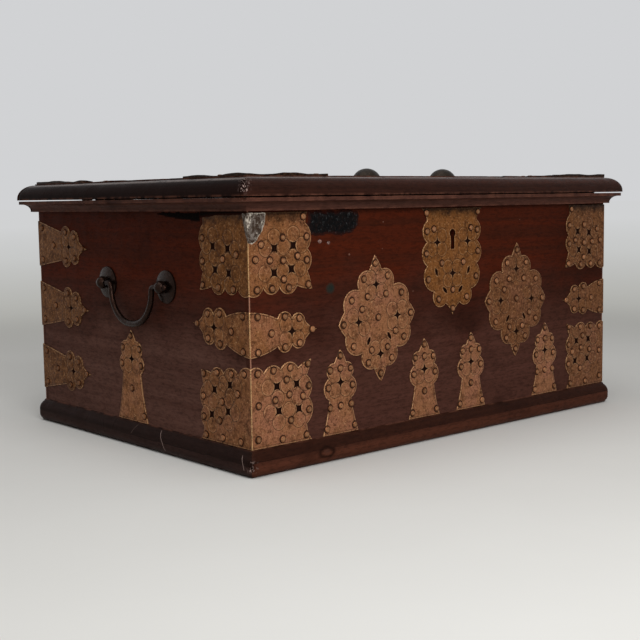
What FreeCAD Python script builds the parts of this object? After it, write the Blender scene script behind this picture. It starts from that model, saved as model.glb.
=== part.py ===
import FreeCAD, Part
import math
import os
import Sketcher
from types import SimpleNamespace

Vector = FreeCAD.Vector

# Driving sizes of the box, in millimetres
driving_sizes = {
    # carcase boards
    "carcase_width": 420,
    "carcase_depth": 306,
    "wall_top": 198,
    "board_thickness": 14,
    "lap_tongue": 5,
    "bottom_thickness": 12,
    "bottom_rebate": 7,
    # base moulding
    "base_height": 19.5,
    "base_projection": 5.5,
    "base_round_height": 9,
    "base_foot_height": 6,
    "base_foot_inset": 4.5,
    # rim moulding
    "rim_height": 9.3,
    "rim_lip": 12.5,
    "rim_lip_height": 2.7,
    "rim_quirk": 2.2,
    "rim_foot": 5,
    "rim_foot_height": 1.2,
    "rim_cove_radius": 6,
    # lid
    "lid_gap": 1,
    "lid_overhang": 13.5,
    "lid_tip": 1.2,
    "lid_round": 12,
    "lid_step": 1,
    "lid_moulding_width": 26,
    # brass plates and their pins
    "plate_thickness": 0.9,
    "pin_head_radius": 2.35,
    "pin_head_height": 1.3,
    "pin_shank_radius": 0.8,
    "pin_depth": 4,
    "star_size": 3.4,
    "leaf_star_size": 3.9,
    "slit_length": 6.4,
    "slit_width": 2.2,
    "rim_margin": 1.2,
    "base_margin": 0.2,
    # front plates
    "leaf_width": 57,
    "leaf_height": 58.5,
    "clasp_height": 101.5,
    "clasp_reach": 62,
    "clasp_half": 16.3,
    "escutcheon_half": 36,
    "escutcheon_drop": 87,
    "left_lozenge_place": 85.5,
    "left_lozenge_height": 103.7,
    "right_lozenge_place": 81.5,
    "right_lozenge_height": 107,
    "lozenge_half_width": 41,
    "lozenge_half_height": 49.5,
    "left_spire_gap": 9.5,
    "right_spire_gap": 13,
    "left_inner_spire_place": 34,
    "right_inner_spire_place": 22.5,
    "spire_half": 18,
    "spire_height": 64,
    # end plates
    "end_leaf_width": 57.5,
    "end_clasp_reach": 68,
    "end_spire_half": 22,
    "end_spire_height": 74,
    "end_spire_place": 3.5,
    "strap_reach": 84,
    "strap_half": 20,
    "strap_rim_gap": 7,
    "strap_base_gap": 10.3,
    "strap_middle_rise": 1.6,
    # lid plates and bosses
    "lid_leaf_width": 78,
    "lid_leaf_height": 78,
    "lid_plate_inset": 1,
    "lid_lozenge_half_width": 58,
    "lid_lozenge_half_height": 46,
    "boss_place": 45.6,
    "boss_depth": 52.5,
    "boss_radius": 11.6,
    "boss_height": 7.5,
    "boss_shank_radius": 3.2,
    "crown_radius": 7,
    "crown_height": 3.2,
    "crown_shank_radius": 2,
    "crown_shank_length": 9,
    # keyhole and lock
    "keyhole_inset": 20.5,
    "keyhole_radius": 3,
    "keyhole_slot_width": 3.6,
    "keyhole_drop": 12.5,
    "lock_width": 76,
    "lock_foot": 4,
    "lock_depth": 13.5,
    "lock_wall": 1.6,
    "lock_drop": 1.5,
    "guide_thickness": 3,
    "guide_foot": 3,
    "guide_back_place": 20.5,
    "guide_front_place": 1.5,
    "bolt_thickness": 2.8,
    "bolt_height": 6,
    "bolt_drop": 10.5,
    "bolt_nose": 6,
    "bolt_back_room": 1.4,
    "bolt_clearance": 0.2,
    "staple_place": 12,
    "staple_thickness": 4,
    "staple_cheek": 1.8,
    "staple_clearance": 0.75,
    "staple_foot": 2.1,
    "staple_slot_clearance": 0.8,
    "keeper_margin": 11,
    "keeper_thickness": 2,
    "keeper_inset": 1.5,
    # hinges
    "hinge_place": 120,
    "hinge_width": 36,
    "hinge_leaf_thickness": 1.4,
    "hinge_leaf_gap": 0.3,
    "hinge_reach": 29,
    "barrel_radius": 3,
    "barrel_clearance": 0.4,
    "knuckle_gap": 0.2,
    "hinge_pin_radius": 1.4,
    "pivot_clearance": 0.06,
    # handles
    "handle_height": 131,
    "handle_half_span": 43,
    "handle_place": 7.2,
    "handle_standoff": 5.8,
    "rose_radius": 12.7,
    "rose_bore": 4.4,
    "rose_edge": 1.4,
    "rose_crown": 2.7,
    "post_radius": 2.6,
    "ball_radius": 5.2,
    "clench_radius": 6,
    "clench_thickness": 1.5,
    "bail_radius": 2.4,
    "bail_half_width": 30,
    "bail_drop": 31,
    "bail_bend": 27.5,
    "bail_elbow": 3,
    "bail_end": 2.5,
    # reach of a cut past the face that it starts from
    "overrun": 20,
}


class Size:
    """A length with the sheet expression that gives it."""

    def __init__(self, value, text):
        self.value = value
        self.text = text

    def combine(self, other, sign):
        if not isinstance(other, Size):
            other = Size(other, str(other))
        values = {
            "+": lambda a, b: a + b,
            "-": lambda a, b: a - b,
            "*": lambda a, b: a * b,
            "/": lambda a, b: a / b,
        }
        value = values[sign](self.value, other.value)
        return Size(value, f"({self.text} {sign} {other.text})")

    def __add__(self, other):
        return self.combine(other, "+")

    def __sub__(self, other):
        return self.combine(other, "-")

    def __mul__(self, other):
        return self.combine(other, "*")

    def __truediv__(self, other):
        return self.combine(other, "/")

    def __neg__(self):
        return Size(-self.value, f"(-1 * {self.text})")

    def __float__(self):
        return float(self.value)


document = FreeCAD.newDocument("storage_box")
sheet = document.addObject("Spreadsheet::Sheet", "sizes")
lengths = {}
for row, (name, number) in enumerate(driving_sizes.items(), start=1):
    sheet.set(f"A{row}", name)
    sheet.set(f"B{row}", str(number))
    sheet.setAlias(f"B{row}", name)
    lengths[name] = Size(number, f"sizes.{name}")
d = SimpleNamespace(**lengths)
document.recompute()

zero = Size(0, "0")
half_width = d.carcase_width / 2
half_depth = d.carcase_depth / 2
inner_half_depth = half_depth - d.board_thickness
rim_bottom = d.wall_top - d.rim_height
lid_bottom = d.wall_top + d.lid_gap
lid_thickness = d.lid_tip + d.lid_round + d.lid_step
lid_top = lid_bottom + lid_thickness
lid_inner = d.lid_overhang - d.lid_moulding_width
plate_top = rim_bottom - d.rim_margin
plate_bottom = d.base_height + d.base_margin
keyhole_height = plate_top - d.keyhole_inset
strap_upper_height = plate_top - d.strap_rim_gap - d.strap_half
strap_lower_height = plate_bottom + d.strap_base_gap + d.strap_half
hinge_axis_y = half_depth + d.lid_overhang + d.barrel_clearance + d.barrel_radius
hinge_axis_z = d.wall_top + d.lid_gap / 2

delivered = []


def bind(item, property_name, size):
    item.setExpression(property_name, size.text)


def keep(item, label):
    item.Label = label
    delivered.append(item)
    return item


def place(item, x, y, z):
    item.Placement = FreeCAD.Placement(Vector(x.value, y.value, z.value), item.Placement.Rotation)
    bind(item, "Placement.Base.x", x)
    bind(item, "Placement.Base.y", y)
    bind(item, "Placement.Base.z", z)
    return item


def block(name, low, size):
    item = document.addObject("Part::Box", name)
    bind(item, "Length", size[0])
    bind(item, "Width", size[1])
    bind(item, "Height", size[2])
    return place(item, *low)


def rod(name, radius, length, base, axis):
    item = document.addObject("Part::Cylinder", name)
    bind(item, "Radius", radius)
    bind(item, "Height", length)
    turn = FreeCAD.Rotation(Vector(0, 0, 1), axis)
    item.Placement = FreeCAD.Placement(Vector(), turn)
    return place(item, *base)


def cut(name, base, tools):
    tool = tools[0]
    if len(tools) > 1:
        tool = document.addObject("Part::Compound", f"{name}_tools")
        tool.Links = tools
    item = document.addObject("Part::Cut", name)
    item.Base = base
    item.Tool = tool
    return item


def fuse(name, shapes):
    item = document.addObject("Part::MultiFuse", name)
    item.Shapes = shapes
    item.Refine = True
    return item


def group(name, shapes):
    item = document.addObject("Part::Compound", name)
    item.Links = shapes
    return item


def mirror(name, source, normal):
    item = document.addObject("Part::Mirroring", name)
    item.Source = source
    item.Normal = normal
    return item


def solid(name, shape):
    item = document.addObject("Part::Feature", name)
    item.Shape = shape
    item.Placement = FreeCAD.Placement()
    return item


# Sketches: a corner is (x, y) or (x, y, radius, side) when an arc leaves it, with its centre on that side
def arc_between(start, end, radius, side):
    along = end - start
    middle = (start + end) * 0.5
    height = math.sqrt(max(radius**2 - (along.Length / 2) ** 2, 0))
    normal = Vector(-along.y, along.x, 0).normalize()
    centre = middle + normal * height * side
    first, last = (start, end) if side > 0 else (end, start)
    first_angle = math.atan2(first.y - centre.y, first.x - centre.x)
    last_angle = math.atan2(last.y - centre.y, last.x - centre.x)
    circle = Part.Circle(centre, Vector(0, 0, 1), radius)
    return Part.ArcOfCircle(circle, first_angle, last_angle)


def sketch_on(body, role, name):
    sketch = body.newObject("Sketcher::SketchObject", name)
    plane = [item for item in body.Origin.OriginFeatures if item.Role == role][0]
    sketch.AttachmentSupport = [(plane, "")]
    sketch.MapMode = "FlatFace"
    return sketch


def pin_point(sketch, edge, end, x, y):
    for kind, axis, size in (("DistanceX", -2, x), ("DistanceY", -1, y)):
        if abs(size.value) < 1e-9:
            sketch.addConstraint(Sketcher.Constraint("PointOnObject", edge, end, axis))
        else:
            index = sketch.addConstraint(Sketcher.Constraint(kind, -1, 1, edge, end, size.value))
            bind(sketch, f"Constraints[{index}]", size)


def draw(sketch, corners, closed=True):
    points = [Vector(corner[0].value, corner[1].value, 0) for corner in corners]
    count = len(corners)
    spans = count if closed else count - 1
    ends = []
    for span in range(spans):
        start = points[span]
        end = points[(span + 1) % count]
        corner = corners[span]
        if len(corner) == 2:
            edge = sketch.addGeometry(Part.LineSegment(start, end), False)
            ends.append((edge, 1, 2))
        else:
            edge = sketch.addGeometry(arc_between(start, end, corner[2].value, corner[3]), False)
            ends.append((edge, 1, 2) if corner[3] > 0 else (edge, 2, 1))
            index = sketch.addConstraint(Sketcher.Constraint("Radius", edge, corner[2].value))
            bind(sketch, f"Constraints[{index}]", corner[2])
    for span in range(spans if closed else spans - 1):
        this, following = ends[span], ends[(span + 1) % spans]
        sketch.addConstraint(Sketcher.Constraint("Coincident", this[0], this[2], following[0], following[1]))
    for span in range(spans):
        pin_point(sketch, ends[span][0], ends[span][1], corners[span][0], corners[span][1])
    if not closed:
        pin_point(sketch, ends[-1][0], ends[-1][2], corners[-1][0], corners[-1][1])


# Straight mouldings, mitred at both ends; out is the way from the carcase and the run follows the wall
sides = {
    "front": (zero, -half_depth, d.carcase_width),
    "right": (half_width, zero, d.carcase_depth),
    "back": (zero, half_depth, d.carcase_width),
    "left": (-half_width, zero, d.carcase_depth),
}
quarter_turn = Vector(1, 0, 0).getAngle(Vector(0, 1, 0))


def moulding(kind, side, profile, inner, outer):
    x, y, run = sides[side]
    turn = math.degrees(quarter_turn) * list(sides).index(side)
    body = document.addObject("PartDesign::Body", f"{kind}_{side}")
    section = sketch_on(body, "YZ_Plane", f"{kind}_{side}_section")
    draw(section, profile)
    pad = body.newObject("PartDesign::Pad", f"{kind}_{side}_run")
    pad.Profile = section
    pad.SideType = "Symmetric"
    bind(pad, "Length", run + outer * 2)
    document.recompute()
    straight = body.Shape.Volume
    mitre = sketch_on(body, "XY_Plane", f"{kind}_{side}_mitre")
    near = inner - d.overrun
    far = outer + d.overrun
    for way in (1, -1):
        draw(
            mitre,
            [
                ((run / 2 + near) * way, -near),
                ((run / 2 + far) * way, -far),
                ((run / 2 + far) * way, -near),
            ],
        )
    pocket = body.newObject("PartDesign::Pocket", f"{kind}_{side}_mitred")
    pocket.Profile = mitre
    pocket.Type = "ThroughAll"
    pocket.SideType = "Symmetric"
    body.Placement = FreeCAD.Placement(Vector(), FreeCAD.Rotation(Vector(0, 0, 1), turn))
    place(body, x, y, zero)
    document.recompute()
    if body.Shape.Volume >= straight:
        raise RuntimeError(f"the mitres of {kind}_{side} cut nothing")
    return body


def base_profile():
    shoulder = d.base_height - d.base_round_height
    round_radius = dome_radius(d.base_round_height, d.base_projection)
    foot_radius = dome_radius(d.base_foot_height, d.base_foot_inset)
    return [
        (zero, zero),
        (zero, d.base_height, round_radius, 1),
        (-d.base_projection, shoulder),
        (-d.base_projection, d.base_foot_height, foot_radius, 1),
        (d.base_foot_inset - d.base_projection, zero),
    ]


def rim_profile():
    lip_bottom = d.wall_top - d.rim_lip_height
    foot_top = rim_bottom + d.rim_foot_height
    return [
        (zero, rim_bottom),
        (zero, d.wall_top),
        (-d.rim_lip, d.wall_top),
        (-d.rim_lip, lip_bottom),
        (d.rim_quirk - d.rim_lip, lip_bottom, d.rim_cove_radius, -1),
        (-d.rim_foot, foot_top),
        (-d.rim_foot, rim_bottom),
    ]


def lid_profile():
    shoulder = lid_bottom + d.lid_tip
    return [
        (-lid_inner, lid_bottom),
        (-lid_inner, lid_top),
        (d.lid_round - d.lid_overhang, lid_top),
        (d.lid_round - d.lid_overhang, shoulder + d.lid_round, d.lid_round, 1),
        (-d.lid_overhang, shoulder),
        (-d.lid_overhang, lid_bottom),
    ]


# Boards of the carcase: the ends are lapped into the front and back, and the bottom sits in a rebate
def bottom_seat(name):
    short = d.board_thickness - d.bottom_rebate
    low = (short - half_width, short - half_depth, zero)
    return block(name, low, (d.carcase_width - short * 2, d.carcase_depth - short * 2, d.bottom_thickness))


def keyhole_tool(name, front, length):
    drop = d.keyhole_drop
    half = d.keyhole_slot_width / 2
    head = rod(f"{name}_head", d.keyhole_radius, length, (zero, front, keyhole_height), Vector(0, 1, 0))
    slot = block(f"{name}_slot", (-half, front, keyhole_height - drop), (half * 2, length, drop))
    return fuse(name, [head, slot])


def lap_tools(name, y):
    depth = d.board_thickness - d.lap_tongue
    size = (d.board_thickness, depth, d.wall_top)
    left = block(f"{name}_left", (-half_width, y, zero), size)
    right = block(f"{name}_right", (half_width - d.board_thickness, y, zero), size)
    return [left, right]


def hinge_plate(name, way, low_z, thickness):
    low = (d.hinge_place * way - d.hinge_width / 2, hinge_axis_y - d.hinge_reach, low_z)
    length = d.hinge_reach - d.barrel_radius - d.barrel_clearance
    return block(name, low, (d.hinge_width, length, thickness))


case_leaf_low = hinge_axis_z - d.hinge_leaf_gap / 2 - d.hinge_leaf_thickness
lid_leaf_low = hinge_axis_z + d.hinge_leaf_gap / 2


def case_recess(name):
    thickness = d.hinge_leaf_thickness + d.overrun
    return [hinge_plate(f"{name}_{way}", way, case_leaf_low, thickness) for way in (-1, 1)]


def lid_recess(name):
    thickness = d.hinge_leaf_thickness + d.overrun
    low = lid_leaf_low - d.overrun
    return [hinge_plate(f"{name}_{way}", way, low, thickness) for way in (-1, 1)]


def carcase():
    long_size = (d.carcase_width, d.board_thickness, d.wall_top)
    front = block("front_blank", (-half_width, -half_depth, zero), long_size)
    tools = lap_tools("front_lap", d.lap_tongue - half_depth)
    tools.append(bottom_seat("front_seat"))
    tools.append(keyhole_tool("front_keyhole", -half_depth - d.overrun, d.board_thickness + d.overrun * 2))
    keep(cut("front", front, tools), "front_board")

    back = block("back_blank", (-half_width, inner_half_depth, zero), long_size)
    tools = lap_tools("back_lap", inner_half_depth)
    tools.append(bottom_seat("back_seat"))
    tools.extend(case_recess("back_recess"))
    keep(cut("back", back, tools), "back_board")

    end_size = (d.board_thickness, d.carcase_depth - d.lap_tongue * 2, d.wall_top)
    end = block("end_blank", (-half_width, d.lap_tongue - half_depth, zero), end_size)
    through = d.board_thickness + d.overrun * 2
    tools = [bottom_seat("end_seat")]
    for way in (-1, 1):
        base = (-half_width - d.overrun, d.handle_half_span * way - d.handle_place, d.handle_height)
        tools.append(rod(f"post_hole_{way}", d.post_radius, through, base, Vector(1, 0, 0)))
    left = keep(cut("left_end", end, tools), "left_end_board")
    keep(mirror("right_end", left, Vector(1, 0, 0)), "right_end_board")
    keep(bottom_seat("bottom"), "bottom_board")


def mouldings():
    for side in sides:
        keep(moulding("base", side, base_profile(), zero, d.base_projection), f"base_moulding_{side}")
        rim = moulding("rim", side, rim_profile(), zero, d.rim_lip)
        lid = moulding("lid", side, lid_profile(), lid_inner, d.lid_overhang)
        if side == "back":
            rim = cut("rim_back_let_in", rim, case_recess("rim_recess"))
            lid = cut("lid_back_let_in", lid, lid_recess("lid_recess"))
        keep(rim, f"rim_moulding_{side}")
        keep(lid, f"lid_moulding_{side}")


def lid_board():
    low = (-half_width - lid_inner, -half_depth - lid_inner, lid_bottom)
    size = (d.carcase_width + lid_inner * 2, d.carcase_depth + lid_inner * 2, lid_thickness)
    board = block("lid_blank", low, size)
    tools = []
    for way in (-1, 1):
        base = (d.boss_place * way, d.boss_depth - half_depth, lid_bottom - d.overrun)
        length = lid_thickness + d.overrun * 2
        tools.append(rod(f"boss_hole_{way}", d.boss_shank_radius, length, base, Vector(0, 0, 1)))
    base = (zero, zero, lid_top - d.crown_shank_length)
    length = d.crown_shank_length + d.overrun
    tools.append(rod("crown_hole", d.crown_shank_radius, length, base, Vector(0, 0, 1)))
    keep(cut("lid_holed", board, tools), "lid_board")


# Brass plates: an outline is a ring of (across, up, bulge) shares, a bulge being the rise of the arc to the
# next point over its chord, positive outwards
upper_outline_shares = [
    (0, 0, 0),
    (0.95, 0, -0.06),
    (0.915, 0.14, 0.23),
    (0.945, 0.46, 0.25),
    (0.94, 0.73, 0.03),
    (1.015, 0.96, 0.05),
    (0.76, 0.91, 0.35),
    (0.475, 0.91, 0.35),
    (0.22, 0.91, 0.22),
    (0, 1, 0),
]
lower_outline_shares = [
    (0, 0, 0),
    (0.97, 0, -0.08),
    (0.89, 0.21, 0.24),
    (0.93, 0.55, 0.26),
    (0.90, 0.825, 0.04),
    (0.98, 1.025, 0.06),
    (0.755, 0.935, 0.30),
    (0.47, 0.945, 0.27),
    (0.20, 0.92, 0.22),
    (0, 0.99, 0),
]
end_outline_shares = [
    (0, 0, 0),
    (1.06, 0, -0.08),
    (0.995, 0.17, 0.26),
    (0.995, 0.41, 0.26),
    (0.99, 0.70, 0.03),
    (1.04, 0.89, 0.05),
    (0.825, 0.87, 0.27),
    (0.55, 0.885, 0.27),
    (0.245, 0.895, 0.20),
    (0, 0.99, 0),
]
leaf_star_turn = math.degrees(quarter_turn) / 2
lozenge_leans = {"left": 3.3, "right": -1}
upper_star_shares = [(0.40, 0.435), (0.71, 0.41), (0.39, 0.735), (0.675, 0.70)]
lower_star_shares = [(0.425, 0.43), (0.755, 0.42), (0.40, 0.74), (0.725, 0.735)]
end_star_shares = [(0.47, 0.415), (0.817, 0.34), (0.417, 0.757), (0.748, 0.663)]
upper_pin_shares = [
    (0.54, 0.31),
    (0.19, 0.385),
    (0.10, 0.565),
    (0.325, 0.58),
    (0.54, 0.59),
    (0.775, 0.545),
    (0.93, 0.60),
    (0.93, 0.31),
    (0.545, 0.82),
    (0.355, 0.93),
    (0.625, 0.93),
    (0.95, 0.905),
    (0.115, 0.93),
    (0.88, 0.06),
]
lower_pin_shares = [
    (0.10, 0.925),
    (0.35, 0.94),
    (0.625, 0.95),
    (0.92, 0.97),
    (0.56, 0.805),
    (0.93, 0.69),
    (0.60, 0.615),
    (0.37, 0.57),
    (0.83, 0.57),
    (0.105, 0.53),
    (0.93, 0.385),
    (0.62, 0.29),
    (0.09, 0.115),
    (0.48, 0.07),
    (0.88, 0.07),
]
end_pin_shares = [
    (0.115, 0.92),
    (0.38, 0.895),
    (0.685, 0.885),
    (0.98, 0.845),
    (0.26, 0.66),
    (0.99, 0.555),
    (0.59, 0.526),
    (0.99, 0.29),
    (0.645, 0.28),
    (0.95, 0.06),
    (0.585, 0.07),
    (0.21, 0.07),
]
upper_end_pin_shares = [
    (0.505, 0.565),
    (0.225, 0.505),
    (0.95, 0.90),
    (0.61, 0.92),
    (0.94, 0.60),
    (0.93, 0.31),
    (0.30, 0.93),
]
clasp_half_shares = [(0, -1, 0.05), (0.40, -0.62, 0.38), (0.615, -0.585, 0.38), (0.815, -0.43, -0.10)]
clasp_pin_shares = [
    (0.105, 0.78),
    (0.105, -0.78),
    (0.306, 0),
    (0.506, 0.68),
    (0.506, -0.68),
    (0.726, 0.56),
    (0.726, -0.56),
    (0.925, 0),
]
clasp_star_shares = [(0.613, 0)]
strap_half_shares = [(0, -1, 0), (0.49, -0.62, 0.40), (0.67, -0.55, 0.40), (0.835, -0.32, -0.06)]
strap_pin_shares = [(0.08, 0.70), (0.08, -0.70), (0.32, 0), (0.58, 0.62), (0.58, -0.62), (0.755, 0.46),
                    (0.755, -0.46), (0.92, 0)]
strap_star_shares = [(0.64, 0)]
strap_fall_shares = {"upper": 0.17, "middle": 0.10, "lower": 0}
clasp_fall_share = -0.29
spire_half_shares = [(1, 0, -0.03), (0.61, 0.41, 0.32), (0.64, 0.67, 0.36), (0.33, 0.845, 0.08), (0, 1, 0)]
end_spire_half_shares = [(1, 0, -0.03), (0.60, 0.53, 0.32), (0.62, 0.72, 0.36), (0.30, 0.88, 0.06),
                         (0, 1, 0)]
end_spire_pin_shares = [(0, 0.94), (0.56, 0.80), (-0.56, 0.80), (0.64, 0.62), (-0.64, 0.62), (0, 0.36),
                        (0.78, 0.075)]
end_spire_star_shares = [(0.03, 0.685)]
spire_pin_shares = [(0, 0.925), (0, 0.775), (0.58, 0.765), (-0.58, 0.765), (0.68, 0.56), (-0.68, 0.56),
                    (0, 0.33), (0.78, 0.075), (-0.78, 0.075)]
outer_spire_pin_shares = spire_pin_shares + [(0.60, 0.335), (-0.60, 0.32)]
spire_star_shares = [(0, 0.61)]
lozenge_half_shares = [
    (0, -1, 0.05),
    (0.16, -0.765, 0.33),
    (0.45, -0.49, 0.33),
    (0.84, -0.19, 0.04),
    (1, 0, 0.04),
    (0.84, 0.19, 0.33),
    (0.45, 0.49, 0.33),
    (0.16, 0.765, 0.05),
    (0, 1, 0),
]
lozenge_pin_shares = [
    (0, 0.87),
    (0, -0.87),
    (0.88, 0),
    (-0.88, 0),
    (0.31, 0.65),
    (-0.31, 0.65),
    (0.31, -0.66),
    (-0.31, -0.66),
    (0.65, 0.35),
    (-0.65, 0.35),
    (0.66, -0.36),
    (-0.66, -0.36),
    (0.24, 0.37),
    (-0.24, 0.37),
    (0.21, -0.47),
    (-0.21, -0.47),
    (-0.40, 0.19),
    (0.44, -0.24),
]
front_lozenge_pin_shares = lozenge_pin_shares + [(0.01, 0.02)]
lozenge_star_shares = [(0, 0.54), (0.02, -0.56), (0.52, 0), (-0.50, 0)]
lozenge_slit_shares = [(0.27, -0.30, 120), (-0.27, -0.32, 60)]
escutcheon_half_shares = [
    (0, 0, -0.08),
    (0.235, 0.11, 0.45),
    (0.61, 0.23, 0.33),
    (0.83, 0.47, 0.30),
    (0.83, 0.69, 0.30),
    (0.83, 0.885, -0.12),
    (1, 1, 0),
]
escutcheon_pin_shares = [
    (0.84, 0.79),
    (-0.84, 0.79),
    (0.62, 0.81),
    (-0.62, 0.81),
    (0.86, 0.585),
    (-0.86, 0.585),
    (0.36, 0.49),
    (-0.36, 0.49),
    (0.80, 0.345),
    (-0.80, 0.345),
    (0.47, 0.155),
    (-0.47, 0.155),
    (0, 0.235),
    (0, 0.055),
    (0.86, 0.96),
    (-0.86, 0.96),
]
escutcheon_star_shares = [(0.51, 0.685), (-0.51, 0.685), (0, 0.39)]
star_bulge_share = -0.16
escutcheon_slit_shares = [(0.54, 0.41, 70), (-0.54, 0.41, 110), (0.26, 0.235, 45), (-0.26, 0.235, 135)]


def mirrored_shares(half, upright=True):
    """Close a half outline by reflecting it in its own axis."""
    other = []
    for index in range(len(half) - 1, -1, -1):
        across, up, bulge = half[index]
        arriving = half[index - 1][2] if index else 0
        if upright and across:
            other.append((-across, up, arriving))
        if not upright and up:
            other.append((across, -up, arriving))
    return half + other


def sloped_shares(shares, fall):
    """Slope a plate down towards its tip by this share of its half height."""
    return [(share[0], share[1] - fall * share[0], *share[2:]) for share in shares]


clasp_outline_shares = mirrored_shares(clasp_half_shares + [(1, 0, -0.10)], upright=False)
strap_outline_shares = mirrored_shares(strap_half_shares + [(1, 0, -0.08)], upright=False)
spire_outline_shares = mirrored_shares(spire_half_shares)
end_spire_outline_shares = mirrored_shares(end_spire_half_shares)
lozenge_outline_shares = mirrored_shares(lozenge_half_shares)
escutcheon_outline_shares = mirrored_shares(escutcheon_half_shares)

# Each wall's own flat frame: its origin, the way across and the way up, as seen from outside
wall_frames = {
    "front": (Vector(0, -half_depth.value, 0), Vector(1, 0, 0), Vector(0, 0, 1)),
    "left": (Vector(-half_width.value, 0, 0), Vector(0, -1, 0), Vector(0, 0, 1)),
    "back": (Vector(0, half_depth.value, 0), Vector(-1, 0, 0), Vector(0, 0, 1)),
    "lid": (Vector(0, 0, lid_top.value), Vector(1, 0, 0), Vector(0, 1, 0)),
}
pin_places = {"front": [], "left": [], "back": [], "lid": []}


def wall_matrix(wall):
    origin, across, up = wall_frames[wall]
    out = across.cross(up)
    matrix = FreeCAD.Matrix()
    for column, axis in enumerate((across, up, out), start=1):
        for line, part in enumerate((axis.x, axis.y, axis.z), start=1):
            setattr(matrix, f"A{line}{column}", part)
    matrix.A14, matrix.A24, matrix.A34 = origin.x, origin.y, origin.z
    return matrix


def ring(points, bulges):
    edges = []
    turning = sum(a.x * b.y - b.x * a.y for a, b in zip(points, points[1:] + points[:1]))
    if turning < 0:
        points = points[::-1]
        bulges = bulges[-2::-1] + bulges[-1:]
    for index, start in enumerate(points):
        end = points[(index + 1) % len(points)]
        chord = end - start
        rise = bulges[index]
        if rise:
            middle = (start + end) * 0.5 + Vector(chord.y, -chord.x, 0) * rise
            edges.append(Part.Arc(start, middle, end).toShape())
        else:
            edges.append(Part.makeLine(start, end))
    return Part.Wire(edges)


def round_hole(centre, radius):
    return Part.Wire([Part.makeCircle(radius, centre)])


def star_hole(centre, size, turn):
    points = []
    for step in range(4):
        angle = math.radians(turn + 90 * step)
        points.append(centre + Vector(math.cos(angle), math.sin(angle), 0) * size)
    return ring(points, [star_bulge_share] * 4)


def slit_hole(centre, length, width, turn):
    along = Vector(math.cos(math.radians(turn)), math.sin(math.radians(turn)), 0) * (length / 2)
    return ring([centre - along, centre + along], [width / length / 2] * 2)


def keyhole_ring(centre_height):
    half = d.keyhole_slot_width.value / 2
    radius = d.keyhole_radius.value
    shoulder = centre_height - math.sqrt(radius**2 - half**2)
    foot = centre_height - d.keyhole_drop.value
    corners = [(half, shoulder), (-half, shoulder), (-half, foot), (half, foot)]
    points = [Vector(x, y, 0) for x, y in corners]
    head = Part.Arc(points[0], Vector(0, centre_height + radius, 0), points[1]).toShape()
    lines = [Part.makeLine(points[index], points[(index + 1) % 4]) for index in (1, 2, 3)]
    return Part.Wire([head] + lines)


def flat_plate(wall, outline, origin, scale, pins=(), stars=(), slits=(), star_turn=0, extra=(), lip=0,
               lean=0):
    """A pierced plate on one wall, with its pins noted; scale gives its size across and up, lean its turn."""
    tilt = FreeCAD.Rotation(Vector(0, 0, 1), lean)

    def spot(share):
        return Vector(*origin, 0) + tilt.multVec(Vector(share[0] * scale[0], share[1] * scale[1], 0))

    points = [spot(share) for share in outline]
    bulges = [share[2] for share in outline]
    if lip:
        points = [points[0] + Vector(lip, 0, 0)] + points + [points[-1] + Vector(lip, 0, 0)]
        bulges = [0] + bulges + [0]
    wires = [ring(points, bulges)]
    for share in pins:
        wires.append(round_hole(spot(share), d.pin_shank_radius.value))
        pin_places[wall].append(spot(share))
    star_size = d.leaf_star_size if star_turn else d.star_size
    for share in stars:
        wires.append(star_hole(spot(share), star_size.value, star_turn + lean))
    for share in slits:
        wires.append(slit_hole(spot(share), d.slit_length.value, d.slit_width.value, share[2] + lean))
    wires.extend(extra)
    face = Part.makeFace(wires, "Part::FaceMakerBullseye")
    plate = face.extrude(Vector(0, 0, d.plate_thickness.value))
    return plate.transformed(wall_matrix(wall), copy=True)


def corner_plate(front_args, second_wall, second_args, lip):
    first = flat_plate(*front_args, lip=lip)
    second = flat_plate(second_wall, *second_args)
    return first.fuse(second).removeSplitter().Solids[0]


def front_corner_plates():
    wide, tall = d.leaf_width.value, d.leaf_height.value
    end_wide = d.end_leaf_width.value
    left, corner = -half_width.value, half_depth.value
    lip = -d.plate_thickness.value
    upper = (upper_outline_shares, upper_pin_shares, upper_star_shares)
    upper_end = (upper_outline_shares, upper_end_pin_shares, upper_star_shares)
    lower = (lower_outline_shares, lower_pin_shares, lower_star_shares)
    lower_end = (end_outline_shares, end_pin_shares, end_star_shares)
    rows = {
        "upper": (plate_top.value, -tall, upper, upper_end),
        "lower": (plate_bottom.value, tall, lower, lower_end),
    }
    for row, (height, rise, leaf, end_leaf) in rows.items():
        outline, pins, stars = leaf
        front = ("front", outline, (left, height), (wide, rise), pins, stars, (), leaf_star_turn)
        outline, pins, stars = end_leaf
        side = (outline, (corner, height), (-end_wide, rise), pins, stars, (), leaf_star_turn)
        shape = corner_plate(front, "left", side, lip)
        plate = keep(solid(f"leaf_{row}", shape), f"front_left_corner_{row}")
        keep(mirror(f"right_leaf_{row}", plate, Vector(1, 0, 0)), f"front_right_corner_{row}")
    height, half = d.clasp_height.value, d.clasp_half.value
    size = (d.clasp_reach.value, half)
    end_size = (-d.end_clasp_reach.value, half)
    clasp_shares = (clasp_outline_shares, clasp_pin_shares, clasp_star_shares)
    outline, pins, stars = clasp_shares
    front = ("front", outline, (left, height), size, pins, stars)
    outline, pins, stars = [sloped_shares(shares, clasp_fall_share) for shares in clasp_shares]
    side = (outline, (corner, height), end_size, pins, stars)
    clasp = keep(solid("clasp", corner_plate(front, "left", side, lip)), "front_left_clasp")
    keep(mirror("right_clasp", clasp, Vector(1, 0, 0)), "front_right_clasp")


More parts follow.
